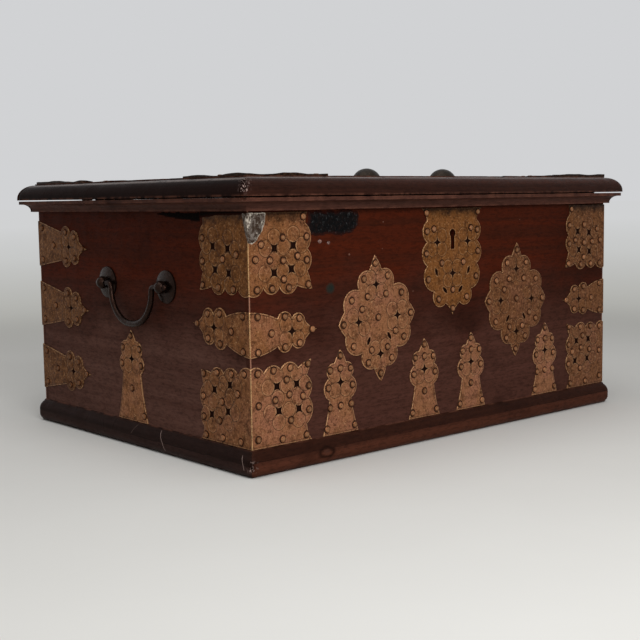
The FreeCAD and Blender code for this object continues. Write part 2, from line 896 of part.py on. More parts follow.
def back_corner_straps():
    reach, half = d.strap_reach.value, d.strap_half.value
    lip = d.plate_thickness.value
    heights = {
        "upper": strap_upper_height,
        "middle": (strap_upper_height + strap_lower_height) / 2 + d.strap_middle_rise,
        "lower": strap_lower_height,
    }
    strap_shares = (strap_outline_shares, strap_pin_shares, strap_star_shares)
    for row, height in heights.items():
        outline, pins, stars = [sloped_shares(shares, strap_fall_shares[row]) for shares in strap_shares]
        back = ("back", outline, (half_width.value, height.value), (-reach, half), pins, stars)
        side = (outline, (-half_depth.value, height.value), (reach, half), pins, stars)
        strap = keep(solid(f"strap_{row}", corner_plate(back, "left", side, lip)), f"back_left_strap_{row}")
        keep(mirror(f"right_strap_{row}", strap, Vector(1, 0, 0)), f"back_right_strap_{row}")


def front_plates():
    keyhole = keyhole_ring(keyhole_height.value)
    drop = d.escutcheon_drop.value
    shape = flat_plate("front", escutcheon_outline_shares, (0, plate_top.value - drop),
                       (d.escutcheon_half.value, drop), escutcheon_pin_shares, escutcheon_star_shares,
                       escutcheon_slit_shares, extra=[keyhole])
    keep(solid("escutcheon_plate", shape), "escutcheon")
    middles = {
        "left": (-d.left_lozenge_place.value, d.left_lozenge_height.value),
        "right": (d.right_lozenge_place.value, d.right_lozenge_height.value),
    }
    size = (d.lozenge_half_width.value, d.lozenge_half_height.value)
    for name, middle in middles.items():
        shape = flat_plate("front", lozenge_outline_shares, middle, size, front_lozenge_pin_shares,
                           lozenge_star_shares, lozenge_slit_shares, lean=lozenge_leans[name])
        keep(solid(f"{name}_lozenge_plate", shape), f"{name}_lozenge")
    spires = []
    size = (d.spire_half.value, d.spire_height.value)
    leaf_edge = half_width - d.leaf_width - d.spire_half
    places = (
        d.left_spire_gap - leaf_edge,
        -d.left_inner_spire_place,
        d.right_inner_spire_place,
        leaf_edge - d.right_spire_gap,
    )
    pin_sets = (outer_spire_pin_shares, spire_pin_shares, spire_pin_shares, outer_spire_pin_shares)
    for across, pins in zip(places, pin_sets):
        foot = (across.value, plate_bottom.value)
        spire = flat_plate("front", spire_outline_shares, foot, size, pins, spire_star_shares)
        spires.append(spire)
    keep(solid("front_spire_plates", Part.makeCompound(spires)), "front_spires")
    size = (d.end_spire_half.value, d.end_spire_height.value)
    foot = (-d.end_spire_place.value, plate_bottom.value)
    shape = flat_plate("left", end_spire_outline_shares, foot, size, end_spire_pin_shares,
                       end_spire_star_shares)
    left = keep(solid("left_spire_plate", shape), "left_end_spire")
    keep(mirror("right_spire_plate", left, Vector(1, 0, 0)), "right_end_spire")


def lid_plates():
    wide, tall = d.lid_leaf_width.value, d.lid_leaf_height.value
    edge = d.lid_overhang.value - d.lid_round.value - d.lid_plate_inset.value
    for depth_name, up in (("front", -1), ("back", 1)):
        for width_name, across in (("left", -1), ("right", 1)):
            corner = ((half_width.value + edge) * across, (half_depth.value + edge) * up)
            shape = flat_plate("lid", lower_outline_shares, corner, (-wide * across, -tall * up),
                               lower_pin_shares, lower_star_shares, (), leaf_star_turn)
            name = f"{depth_name}_{width_name}"
            keep(solid(f"lid_leaf_{name}", shape), f"lid_corner_{name}")
    hole = round_hole(Vector(), d.crown_shank_radius.value)
    shape = flat_plate("lid", lozenge_outline_shares, (0, 0),
                       (d.lid_lozenge_half_width.value, d.lid_lozenge_half_height.value), lozenge_pin_shares,
                       lozenge_star_shares, lozenge_slit_shares, extra=[hole])
    keep(solid("lid_lozenge_plate", shape), "lid_centre_mount")


def pin_shape():
    head, rise = d.pin_head_radius.value, d.pin_head_height.value
    shank = d.pin_shank_radius.value
    seat = d.plate_thickness.value
    foot = -d.pin_depth.value
    crown = Vector(0, 0, seat + rise)
    edge = Vector(head, 0, seat)
    radius = (head**2 + rise**2) / (rise * 2)
    half_angle = math.asin(min(head / radius, 1)) / 2
    middle = crown + Vector(radius * math.sin(half_angle), 0, radius * (math.cos(half_angle) - 1))
    corners = [edge, Vector(shank, 0, seat), Vector(shank, 0, foot), Vector(0, 0, foot), crown]
    edges = [Part.makeLine(a, b) for a, b in zip(corners, corners[1:])]
    edges.append(Part.Arc(crown, middle, edge).toShape())
    return Part.Face(Part.Wire(edges)).revolve(Vector(), Vector(0, 0, 1), 360)


def pins():
    master = pin_shape()
    mirrored_front = []
    limit = (d.clasp_reach.value - half_width.value)
    for spot in pin_places["front"]:
        if spot.x < limit:
            mirrored_front.append(Vector(-spot.x, spot.y, 0))
    pin_places["front"].extend(mirrored_front)
    pin_places["back"].extend([Vector(-spot.x, spot.y, 0) for spot in pin_places["back"]])
    for wall, spots in pin_places.items():
        matrix = wall_matrix(wall)
        copies = []
        for spot in spots:
            copies.append(master.translated(spot).transformed(matrix, copy=True))
        item = keep(solid(f"{wall}_pin_set", Part.makeCompound(copies)), f"{wall}_pins")
        if wall == "left":
            keep(mirror("right_pin_set", item, Vector(1, 0, 0)), "right_pins")


# Turned pieces: a half profile revolved about the upright axis of its own body
def turned(name, profile):
    body = document.addObject("PartDesign::Body", name)
    section = sketch_on(body, "XZ_Plane", f"{name}_section")
    draw(section, profile)
    feature = body.newObject("PartDesign::Revolution", f"{name}_turned")
    feature.Profile = section
    feature.ReferenceAxis = (section, ["V_Axis"])
    document.recompute()
    return body


def dome_radius(radius, height):
    return (radius * radius + height * height) / (height * 2)


def boss(name, radius, height, shank_radius, shank_length, x, y, seat):
    profile = [
        (zero, -shank_length),
        (shank_radius, -shank_length),
        (shank_radius, zero),
        (radius, zero, dome_radius(radius, height), 1),
        (zero, height),
    ]
    return place(turned(name, profile), x, y, seat)


def lid_bosses():
    shank = lid_thickness + d.keeper_thickness
    items = []
    for way in (-1, 1):
        items.append(boss(f"boss_{way + 2}", d.boss_radius, d.boss_height, d.boss_shank_radius, shank,
                          d.boss_place * way, d.boss_depth - half_depth, lid_top))
    items.append(boss("crown", d.crown_radius, d.crown_height, d.crown_shank_radius,
                      d.crown_shank_length + d.plate_thickness, zero, zero, lid_top + d.plate_thickness))
    keep(group("boss_set", items), "lid_bosses")


# Drop handles, made on the left end and mirrored to the right; the ball starts this share below its middle
ball_seat_share = 0.85
ball_neck_share = math.sqrt(1 - ball_seat_share**2)
outward_left = FreeCAD.Rotation(Vector(0, 0, 1), Vector(-1, 0, 0))


def rose(name, way):
    rise = d.rose_crown - d.rose_edge
    reach = d.rose_radius - d.rose_bore
    profile = [
        (d.rose_bore, zero),
        (d.rose_radius, zero),
        (d.rose_radius, d.rose_edge, dome_radius(reach, rise), 1),
        (d.rose_bore, d.rose_crown),
    ]
    body = turned(name, profile)
    body.Placement = FreeCAD.Placement(Vector(), outward_left)
    return place(body, -half_width, d.handle_half_span * way - d.handle_place, d.handle_height)


def post(name, way):
    inside = -d.board_thickness
    seat = d.handle_standoff - d.ball_radius * ball_seat_share
    neck = d.post_radius
    profile = [
        (zero, inside - d.clench_thickness),
        (d.clench_radius, inside - d.clench_thickness),
        (d.clench_radius, inside),
        (neck, inside),
        (neck, seat),
        (d.ball_radius * ball_neck_share, seat, d.ball_radius, 1),
        (d.ball_radius, d.handle_standoff, d.ball_radius, 1),
        (zero, d.handle_standoff + d.ball_radius),
    ]
    body = turned(name, profile)
    solid_volume = body.Shape.Volume
    eye = sketch_on(body, "XZ_Plane", f"{name}_eye")
    circle = Part.Circle(Vector(0, d.handle_standoff.value, 0), Vector(0, 0, 1), d.bail_radius.value)
    edge = eye.addGeometry(circle, False)
    radius = eye.addConstraint(Sketcher.Constraint("Radius", edge, d.bail_radius.value))
    bind(eye, f"Constraints[{radius}]", d.bail_radius + d.pivot_clearance)
    pin_point(eye, edge, 3, zero, d.handle_standoff)
    hole = body.newObject("PartDesign::Pocket", f"{name}_bored")
    hole.Profile = eye
    hole.Type = "ThroughAll"
    hole.SideType = "Symmetric"
    document.recompute()
    if body.Shape.Volume >= solid_volume:
        raise RuntimeError(f"the eye of {name} cuts nothing")
    body.Placement = FreeCAD.Placement(Vector(), outward_left)
    return place(body, -half_width, d.handle_half_span * way - d.handle_place, d.handle_height)


def bail(name):
    body = document.addObject("PartDesign::Body", name)
    route = sketch_on(body, "YZ_Plane", f"{name}_route")
    end = d.handle_half_span + d.ball_radius + d.bail_end
    leg = d.bail_half_width
    bend = d.bail_bend
    corners = [
        (-end, zero),
        (-leg - d.bail_elbow, zero, d.bail_elbow, -1),
        (-leg, -d.bail_elbow),
        (-leg, bend - d.bail_drop, bend, 1),
        (bend - leg, -d.bail_drop),
        (leg - bend, -d.bail_drop, bend, 1),
        (leg, bend - d.bail_drop),
        (leg, -d.bail_elbow, d.bail_elbow, -1),
        (leg + d.bail_elbow, zero),
        (end, zero),
    ]
    draw(route, corners, closed=False)
    section = sketch_on(body, "XZ_Plane", f"{name}_section")
    section.AttachmentOffset = FreeCAD.Placement(Vector(0, 0, end.value), FreeCAD.Rotation())
    section.setExpression("AttachmentOffset.Base.z", end.text)
    edge = section.addGeometry(Part.Circle(Vector(), Vector(0, 0, 1), d.bail_radius.value), False)
    radius = section.addConstraint(Sketcher.Constraint("Radius", edge, d.bail_radius.value))
    bind(section, f"Constraints[{radius}]", d.bail_radius)
    section.addConstraint(Sketcher.Constraint("Coincident", edge, 3, -1, 1))
    bar = body.newObject("PartDesign::AdditivePipe", f"{name}_bar")
    bar.Profile = section
    bar.Spine = route
    document.recompute()
    return place(body, -half_width - d.handle_standoff, -d.handle_place, d.handle_height)


def handles():
    roses = keep(group("rose_pair", [rose("rose_front", -1), rose("rose_back", 1)]), "left_roses")
    posts = keep(group("post_pair", [post("post_front", -1), post("post_back", 1)]), "left_posts")
    bar = keep(bail("bail"), "left_bail")
    for item, label in ((roses, "right_roses"), (posts, "right_posts"), (bar, "right_bail")):
        keep(mirror(label, item, Vector(1, 0, 0)), label)


# Box lock behind the keyhole, its bolt, and the keeper with its staple under the lid
lock_front = -inner_half_depth
lock_top = d.wall_top - d.lock_drop
lock_middle = lock_front + d.lock_depth / 2
lock_low = keyhole_height - d.keyhole_drop - d.lock_foot
lock_height = lock_top - lock_low
bolt_low = lock_top - d.bolt_drop - d.bolt_height / 2


def guide(name, x):
    clear = d.bolt_clearance
    depth = d.lock_depth - d.lock_wall * 2
    foot = bolt_low - clear - d.guide_foot
    low = (x - d.guide_thickness / 2, lock_front + d.lock_wall, foot)
    wall = block(f"{name}_wall", low, (d.guide_thickness, depth, lock_top - d.lock_wall - foot))
    window_low = (x - d.overrun, lock_middle - d.bolt_thickness / 2 - clear, bolt_low - clear)
    size = (d.overrun * 2, d.bolt_thickness + clear * 2, d.bolt_height + clear * 2)
    return cut(name, wall, [block(f"{name}_window", window_low, size)])


def lock():
    wall = d.lock_wall
    low = (-d.lock_width / 2, lock_front, lock_low)
    outer = block("lock_outer", low, (d.lock_width, d.lock_depth - wall, lock_height))
    cavity_low = (wall - d.lock_width / 2, lock_front + wall, lock_low + wall)
    cavity_size = (d.lock_width - wall * 2, d.lock_depth + d.overrun, lock_height - wall * 2)
    cavity = block("lock_cavity", cavity_low, cavity_size)
    clear = d.staple_slot_clearance
    slot_low = (d.staple_place - d.staple_thickness / 2 - clear, lock_front + wall, lock_top - d.overrun / 4)
    slot_size = (d.staple_thickness + clear * 2, d.lock_depth - wall * 2, d.overrun)
    slot = block("lock_slot", slot_low, slot_size)
    keyhole = keyhole_tool("lock_keyhole", lock_front - d.overrun / 4, d.overrun / 2)
    shell = cut("lock_shell", outer, [fuse("lock_tools", [cavity, slot, keyhole])])
    guides = [guide("guide_back", -d.guide_back_place), guide("guide_front", d.guide_front_place)]
    keep(fuse("lock_body", [shell] + guides), "lock_case")
    cover_low = (-d.lock_width / 2, lock_front + d.lock_depth - wall, lock_low)
    keep(block("lock_back", cover_low, (d.lock_width, wall, lock_height)), "lock_cover")
    bolt_back = wall + d.bolt_back_room - d.lock_width / 2
    bolt_at = (bolt_back, lock_middle - d.bolt_thickness / 2, bolt_low)
    keep(block("bolt", bolt_at, (d.bolt_nose - bolt_back, d.bolt_thickness, d.bolt_height)), "lock_bolt")


def keeper():
    seat = lid_bottom - d.keeper_thickness
    half_plate = d.boss_place + d.keeper_margin
    front_edge = lock_front + d.keeper_inset
    back_edge = d.boss_depth - half_depth + d.keeper_margin
    size = (half_plate * 2, back_edge - front_edge, d.keeper_thickness)
    plate = block("keeper_plate", (-half_plate, front_edge, seat), size)
    clear = d.staple_clearance
    window_half = d.bolt_thickness / 2 + clear
    half = window_half + d.staple_cheek
    foot = bolt_low - clear - d.staple_foot
    staple_low = (d.staple_place - d.staple_thickness / 2, lock_middle - half, foot)
    staple = block("staple_blank", staple_low, (d.staple_thickness, half * 2, seat - foot))
    window_low = (d.staple_place - d.overrun, lock_middle - window_half, bolt_low - clear)
    window = block("staple_window", window_low, (d.overrun * 2, window_half * 2, d.bolt_height + clear * 2))
    whole = fuse("keeper_whole", [plate, cut("staple", staple, [window])])
    holes = []
    for way in (-1, 1):
        base = (d.boss_place * way, d.boss_depth - half_depth, seat - d.overrun)
        holes.append(rod(f"keeper_hole_{way}", d.boss_shank_radius, d.overrun * 2, base, Vector(0, 0, 1)))
    keep(cut("keeper", whole, holes), "lid_keeper")


# Butt hinges: two knuckles on the case leaf, one between them on the lid leaf
def knuckle(name, way, start, length):
    base = (d.hinge_place * way + start, hinge_axis_y, hinge_axis_z)
    return rod(name, d.barrel_radius, length, base, Vector(1, 0, 0))


def hinge_leaf(name, way, low_z, spans):
    pieces = [hinge_plate(f"{name}_plate", way, low_z, d.hinge_leaf_thickness)]
    tab = d.barrel_radius + d.barrel_clearance
    for index, (start, length) in enumerate(spans):
        pieces.append(knuckle(f"{name}_knuckle_{index}", way, start, length))
        low = (d.hinge_place * way + start, hinge_axis_y - tab, low_z)
        pieces.append(block(f"{name}_tab_{index}", low, (length, tab, d.hinge_leaf_thickness)))
    whole = fuse(f"{name}_whole", pieces)
    base = (d.hinge_place * way - d.hinge_width, hinge_axis_y, hinge_axis_z)
    radius = d.hinge_pin_radius + d.pivot_clearance
    bore = rod(f"{name}_bore", radius, d.hinge_width * 2, base, Vector(1, 0, 0))
    return cut(name, whole, [bore])


def hinges():
    third = d.hinge_width / 3
    gap = d.knuckle_gap
    case_leaves = []
    lid_leaves = []
    hinge_pins = []
    for name, way in (("left", -1), ("right", 1)):
        case_spans = [(-third * 1.5, third), (third * 0.5, third)]
        lid_spans = [(gap - third * 0.5, third - gap * 2)]
        case_leaves.append(hinge_leaf(f"{name}_case_leaf", way, case_leaf_low, case_spans))
        lid_leaves.append(hinge_leaf(f"{name}_lid_leaf", way, lid_leaf_low, lid_spans))
        base = (d.hinge_place * way - d.hinge_width / 2, hinge_axis_y, hinge_axis_z)
        hinge_pins.append(rod(f"{name}_hinge_pin", d.hinge_pin_radius, d.hinge_width, base, Vector(1, 0, 0)))
    keep(group("case_leaf_pair", case_leaves), "hinge_case_leaves")
    keep(group("lid_leaf_pair", lid_leaves), "hinge_lid_leaves")
    keep(group("hinge_pin_pair", hinge_pins), "hinge_pins")


carcase()
mouldings()
lid_board()
front_corner_plates()
back_corner_straps()
front_plates()
lid_plates()
pins()
lid_bosses()
handles()
lock()
keeper()
hinges()
document.recompute()

for item in document.Objects:
    if "Invalid" in item.State or "Error" in item.State:
        raise RuntimeError(f"{item.Label} did not build")

os.makedirs("parts", exist_ok=True)
for item in delivered:
    if item.Shape.isNull() or not item.Shape.isValid():
        raise RuntimeError(f"{item.Label} has no sound shape")
    item.Shape.exportStep(f"parts/{item.Label}.step")
    print(item.Label, len(item.Shape.Solids), round(item.Shape.Volume))
print(len(delivered), "nodes")
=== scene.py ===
import math

import bmesh
import bpy
import numpy as np
from mathutils import Matrix, Vector, geometry, kdtree, noise


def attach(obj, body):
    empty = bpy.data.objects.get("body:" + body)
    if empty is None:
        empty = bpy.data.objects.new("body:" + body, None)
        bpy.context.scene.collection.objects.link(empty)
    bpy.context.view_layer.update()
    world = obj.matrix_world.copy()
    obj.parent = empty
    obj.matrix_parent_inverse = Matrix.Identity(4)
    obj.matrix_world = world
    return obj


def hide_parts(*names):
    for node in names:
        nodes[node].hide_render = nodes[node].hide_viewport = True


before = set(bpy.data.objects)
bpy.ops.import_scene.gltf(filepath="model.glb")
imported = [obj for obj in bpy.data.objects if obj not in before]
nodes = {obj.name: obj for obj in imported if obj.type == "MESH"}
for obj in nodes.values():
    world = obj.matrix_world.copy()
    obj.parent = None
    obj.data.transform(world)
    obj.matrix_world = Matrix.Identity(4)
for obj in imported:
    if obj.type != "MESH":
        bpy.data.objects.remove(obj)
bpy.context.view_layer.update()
mm = 0.001
print("frame loaded,", len(nodes), "nodes")


# Shader helpers

class Sock:  # a node's socket that can stand in a sum
    def __init__(self, shade, socket):
        self.shade = shade
        self.socket = socket

    def __add__(self, other):
        return self.shade.maths("ADD", self, other)

    def __sub__(self, other):
        return self.shade.maths("SUBTRACT", self, other)

    def __rsub__(self, other):
        return self.shade.maths("SUBTRACT", other, self)

    def __mul__(self, other):
        return self.shade.maths("MULTIPLY", self, other)

    def __truediv__(self, other):
        return self.shade.maths("DIVIDE", self, other)

    __radd__ = __add__
    __rmul__ = __mul__


class Shade:  # the nodes of one material, or of the world
    def __init__(self, owner):
        self.owner = owner
        owner.use_nodes = True
        self.tree = owner.node_tree
        self.skin = self.tree.nodes.get("Principled BSDF")

    def add(self, kind, settings, sockets, out=0):
        node = self.tree.nodes.new("ShaderNode" + kind)
        for key, value in settings.items():
            setattr(node, key, value)
        for key, value in sockets.items():
            self.feed(node.inputs[key], value)
        if isinstance(out, tuple):
            return [Sock(self, node.outputs[key]) for key in out]
        return Sock(self, node.outputs[out])

    def feed(self, socket, value):
        if isinstance(value, Sock):
            self.tree.links.new(value.socket, socket)
        else:
            socket.default_value = value

    def maths(self, operation, *terms):
        return self.add("Math", {"operation": operation}, dict(enumerate(terms)))

    def mix(self, amount, first, second):
        return self.add("Mix", {"data_type": "RGBA"}, {0: amount, 6: first, 7: second}, 2)

    def layers(self, colour, *coats):  # each coat is an amount and the colour it lays over the last
        for amount, over in coats:
            colour = self.mix(amount, colour, over)
        return colour

    def span(self, value, low, high, start=0.0, end=1.0):  # smooth step between two levels
        settings = {"interpolation_type": "SMOOTHSTEP"}
        return self.add("MapRange", settings, {0: value, 1: low, 2: high, 3: start, 4: end})

    def absolute(self, value):
        return self.maths("ABSOLUTE", value)

    def pulse(self, value, centre, half):  # 1 at the centre, 0 past half on either side
        return self.span(self.absolute(value - centre), half, 0.0)

    def distance(self, across, up):
        return self.maths("SQRT", across * across + up * up)

    def spot(self, stretch=(1, 1, 1)):  # object coordinates in millimetres
        place = self.add("TexCoord", {}, {}, "Object")
        return self.add("Mapping", {}, {"Vector": place, "Scale": [one / mm for one in stretch]})

    def axes(self):
        return self.add("SeparateXYZ", {}, {0: self.spot()}, (0, 1, 2))

    def cloud(self, scale, detail=3.0, rough=0.55, twist=0.0, stretch=(1, 1, 1)):
        sockets = {"Vector": self.spot(stretch), "Scale": scale, "Detail": detail, "Roughness": rough,
                   "Distortion": twist}
        return self.add("TexNoise", {}, sockets, "Fac")

    def cells(self, scale):
        return self.add("TexVoronoi", {}, {"Vector": self.spot(), "Scale": scale}, "Distance")

    def field(self, name):
        return self.add("Attribute", {"attribute_name": name}, {}, "Fac")

    def bump(self, height):  # height in millimetres
        return self.add("Bump", {}, {"Height": height, "Distance": mm, "Strength": 1.0}, "Normal")

    def paint(self, **sockets):
        names = {"colour": "Base Color", "rough": "Roughness", "metal": "Metallic", "normal": "Normal",
                 "gloss": "Specular IOR Level"}
        for key, value in sockets.items():
            self.feed(self.skin.inputs[names[key]], value)
        return self.owner


def newShade(name):
    return Shade(bpy.data.materials.new(name))


def tone(red, green, blue):  # a colour as a picture shows it, 0 to 255
    parts = []
    for part in (red, green, blue):
        share = part / 255
        parts.append(share / 12.92 if share <= 0.04045 else ((share + 0.055) / 1.055) ** 2.4)
    return (*parts, 1)


# Wood: waxed red-brown boards, redder above and duller purple below

woodLook = {
    "red": tone(72, 27, 13),
    "brown": tone(60, 25, 14),
    "purple": tone(78, 48, 40),
    "umber": tone(68, 41, 33),
    "dark": tone(20, 9, 6),
    "raw": tone(104, 76, 54),
    "worn": tone(104, 66, 52),
    "edge": tone(168, 120, 98),
    "bare": tone(206, 176, 166),
    "haze": tone(132, 121, 117),
    "streaks": 0.3,
    "mottle": 0.42,
    "dusk": 0.36,
    # dark spots on the front board: a stain near the middle, and painted shade on the upper right, where less
    # light falls
    "stainsAndShade": ((12, 108, 36, 30, 0.3), (195, 152, 85, 62, 0.5)),
    "pores": 0.28,
    "streakScale": 0.9,
    "grainRun": 0.02,
    "fadeLow": 62,
    "fadeHigh": 150,
    "insideX": 196.5,
    "insideY": 139.5,
    "insideTop": 500,
    "edgeX": 209.1,
    "edgeY": 152.1,
    "gloss": 0.012,
    "rough": 0.36,
    "redness": 1.0,
    "shadeBand": 0,
    "crown": 0,
    "crownHalf": 1.0,
    "flat": 0,
    "knot": None,
    "cracks": (),
}


def woodFinish(name, along, look):
    shade = newShade(name)
    span, pulse, cloud = shade.span, shade.pulse, shade.cloud
    dark, brown, shadeBand = look["dark"], look["brown"], look["shadeBand"]
    lay = (look["grainRun"], 1, 1) if along == "x" else (1, look["grainRun"], 1)
    x, y, z = shade.axes()
    sideways, depthways = shade.absolute(x), shade.absolute(y)
    front = span(y, 0, -1)
    blotch = cloud(0.016, 4, 0.6)
    figure = cloud(0.11, 4, 0.6, 0.7, lay)
    streak = cloud(look["streakScale"], 5, 0.65, 0.2, lay)
    hair = cloud(2.7, 2, 0.5, 0.0, lay)
    pores = span(hair, 0.58, 0.74)
    smear = cloud(0.05, 3, 0.6, 1.2)
    mottle = cloud(0.55, 4, 0.7, 0.4, (0.3, 0.3, 1))
    rub = cloud(1.1, 4, 0.7, 0.8, (0.35, 0.35, 1))
    height = span(z + (blotch - 0.5) * 90, look["fadeLow"], look["fadeHigh"])
    warm = shade.mix(span(figure, 0.34, 0.68), brown, look["red"])
    dull = shade.mix(span(figure, 0.3, 0.72), look["umber"], look["purple"])
    coats = [(height * look["redness"], warm)]
    if look["flat"]:  # the flat beside the lid board is as light as the board
        coats.append((span(z, look["flat"] - 0.8, look["flat"]), look["flatTone"]))
    coats += [(span(streak, 0.5, 0.78) * look["streaks"], dark),
              (span(streak, 0.5, 0.24) * (1 - height * 0.8) * 0.16, look["purple"]),
              (pulse(height, 0.5, 0.5) * look["dusk"], dark)]
    # stains and painted shade: soft dark spots on the front board, the upper right one standing for light
    # falling off
    for across, up, wide, tall, depth in look["stainsAndShade"]:
        reach = shade.distance((x - across) / wide, (z - up) / tall) + (blotch - 0.5) * 1.2
        coats.append((span(reach, 1.15, 0.25) * front * depth, dark))
    coats += [(span(mottle, 0.42, 0.68) * look["mottle"], dark),
              (pores * look["pores"], dark),
              (span(blotch, 0.56, 0.78) * 0.5, dark),
              (span(rub, 0.66, 0.78) * 0.26, look["worn"])]
    if shadeBand:  # painted shade: a dark upper half with a black shadow line under it
        line = pulse(z + (smear - 0.5) * 3, shadeBand, 0.8) * span(figure, 0.34, 0.5)
        coats += [(span(z, shadeBand - 1, shadeBand + 1.4) * 0.62, dark), (line * 0.85, dark)]
    if look["crown"]:  # light caught along the top of a round
        crown = pulse(z + (smear - 0.5), look["crown"], look["crownHalf"]) * span(smear, 0.22, 0.5)
        coats.append((crown * 0.6, look["haze"]))
    if look["knot"]:
        across, up = look["knot"]
        reach = shade.distance((x - across) * 0.62, z - up) + (smear - 0.5) * 4
        coats += [(pulse(reach, 4.3, 1.9) * front * 0.75, dark),
                  (span(reach, 3.4, 1.5) * front * 0.5, brown)]
    for across, foot, top, lean, pale in look["cracks"]:
        stray = y - across - (z - foot) * lean + (hair - 0.5) * 1.5
        length = span(z, foot, foot + 1) * span(z, top, top - 1) * span(x, 0, -1)
        coats += [(pulse(stray, 0.0, 0.5) * length * pale, look["bare"]),
                  (pulse(stray, 0.9, 0.6) * length * 0.7, dark)]
    inside = span(sideways, look["insideX"] + 0.5, look["insideX"])
    inside = inside * span(depthways, look["insideY"] + 0.5, look["insideY"])
    inside = inside * span(z, look["insideTop"], look["insideTop"] - 1)
    raw = shade.mix(span(streak, 0.35, 0.7), look["raw"], brown)
    arris = shade.field("arris") * span(cloud(0.09, 4, 0.65), 0.4, 0.62)
    corner = span(sideways, look["edgeX"], look["edgeX"] + 0.5)
    corner = corner * span(depthways, look["edgeY"], look["edgeY"] + 0.5)
    spoilt = shade.field("bare")
    speck = spoilt * span(cloud(0.75, 3, 0.6, 0.3, (1, 1, 0.6)), 0.54, 0.62)
    coats += [(inside * 0.8, raw),
              (arris * 0.7, look["worn"]),
              (corner * span(figure, 0.3, 0.5) * 0.8, look["edge"]),
              (spoilt * 0.75, dark),
              (speck * 0.9, look["bare"])]
    rough = span(smear, 0.3, 0.75, look["rough"] - 0.06, look["rough"] + 0.16) + pores * 0.1 + inside * 0.25
    relief = streak * 0.05 - pores * 0.05 + cloud(0.03, 2) * 0.7 + figure * 0.06 + speck * 0.2
    return shade.paint(colour=shade.layers(dull, *coats), rough=rough, gloss=look["gloss"],
                       normal=shade.bump(relief))


endLook = dict(woodLook, purple=tone(96, 66, 57), umber=tone(80, 52, 44), stainsAndShade=())
trimLook = dict(woodLook, red=tone(86, 53, 44), brown=tone(70, 45, 37), umber=tone(52, 30, 24),
                purple=tone(74, 46, 38), fadeLow=150, fadeHigh=190, edgeX=400, gloss=0.02, rough=0.32,
                redness=0.6, dusk=0, stainsAndShade=())
# the base mouldings get painted shade: a dark upper half and a shadow line at the band height
baseLook = dict(trimLook, purple=tone(82, 46, 33), umber=tone(66, 36, 26), shadeBand=11.6, knot=(-144, 9))
baseEndLook = dict(trimLook, purple=tone(62, 43, 39), umber=tone(44, 29, 25), shadeBand=9.6,
                   cracks=((0.5, 10, 18.5, -0.85, 0.15), (-49, 3, 18.5, 0.58, 0.5), (-150, 5, 16, 0.3, 0.5)))
lidLook = dict(trimLook, red=tone(60, 31, 21), brown=tone(40, 21, 15), purple=tone(52, 31, 26),
               umber=tone(40, 22, 17), gloss=0.03, rough=0.26, redness=0.7, crown=211.9, crownHalf=0.9,
               insideTop=205)
# painted shade: the lid's end mouldings are a darker copy of the front ones, for the less light that falls on
# them
lidEndShadedLook = dict(lidLook, red=tone(28, 15, 12), brown=tone(16, 8, 7), purple=tone(34, 20, 17),
                  umber=tone(24, 13, 10), gloss=0.012, crown=211.2, crownHalf=1.3, flat=212.9,
                  flatTone=tone(54, 29, 20))
woodLooks = {
    "waxed_wood_x": woodLook, "waxed_wood_y": endLook, "trim_wood_x": trimLook, "trim_wood_y": trimLook,
    "base_wood_x": baseLook, "base_wood_y": baseEndLook, "lid_wood_x": lidLook, "lid_wood_y": lidEndShadedLook,
}
woods = {name: woodFinish(name, name[-1], look) for name, look in woodLooks.items()}
print("wood finishes made")


# Brass: mottled brown patina, dark in the chasing and bright where hands wear it, with painted shade under
# the rim and on the right-hand and lid plates and a partly painted highlight on the rims

brassLook = {
    "copper": tone(156, 105, 72),
    "olive": tone(132, 82, 36),
    "pink": tone(164, 108, 84),
    "patina": tone(64, 34, 15),
    "soot": tone(20, 10, 6),
    "bright": tone(204, 160, 116),
    "cream": tone(224, 188, 138),
    "shadow": tone(32, 15, 8),
    "ringRadius": 2.72,
    "scribeRadius": 6.1,
    "rimLine": 1.2,
    # heights of the grime and painted shade under the rim moulding
    "shadeAndGrimeLow": 177,
    "shadeAndGrimeHigh": 188,
    "shadeAndGrimeTop": 196,
    "gloss": 0.08,
}
plateFields = ("rimGap", "holeGap", "pinGap", "ringGap", "foldGap", "tint", "ageAndShade")


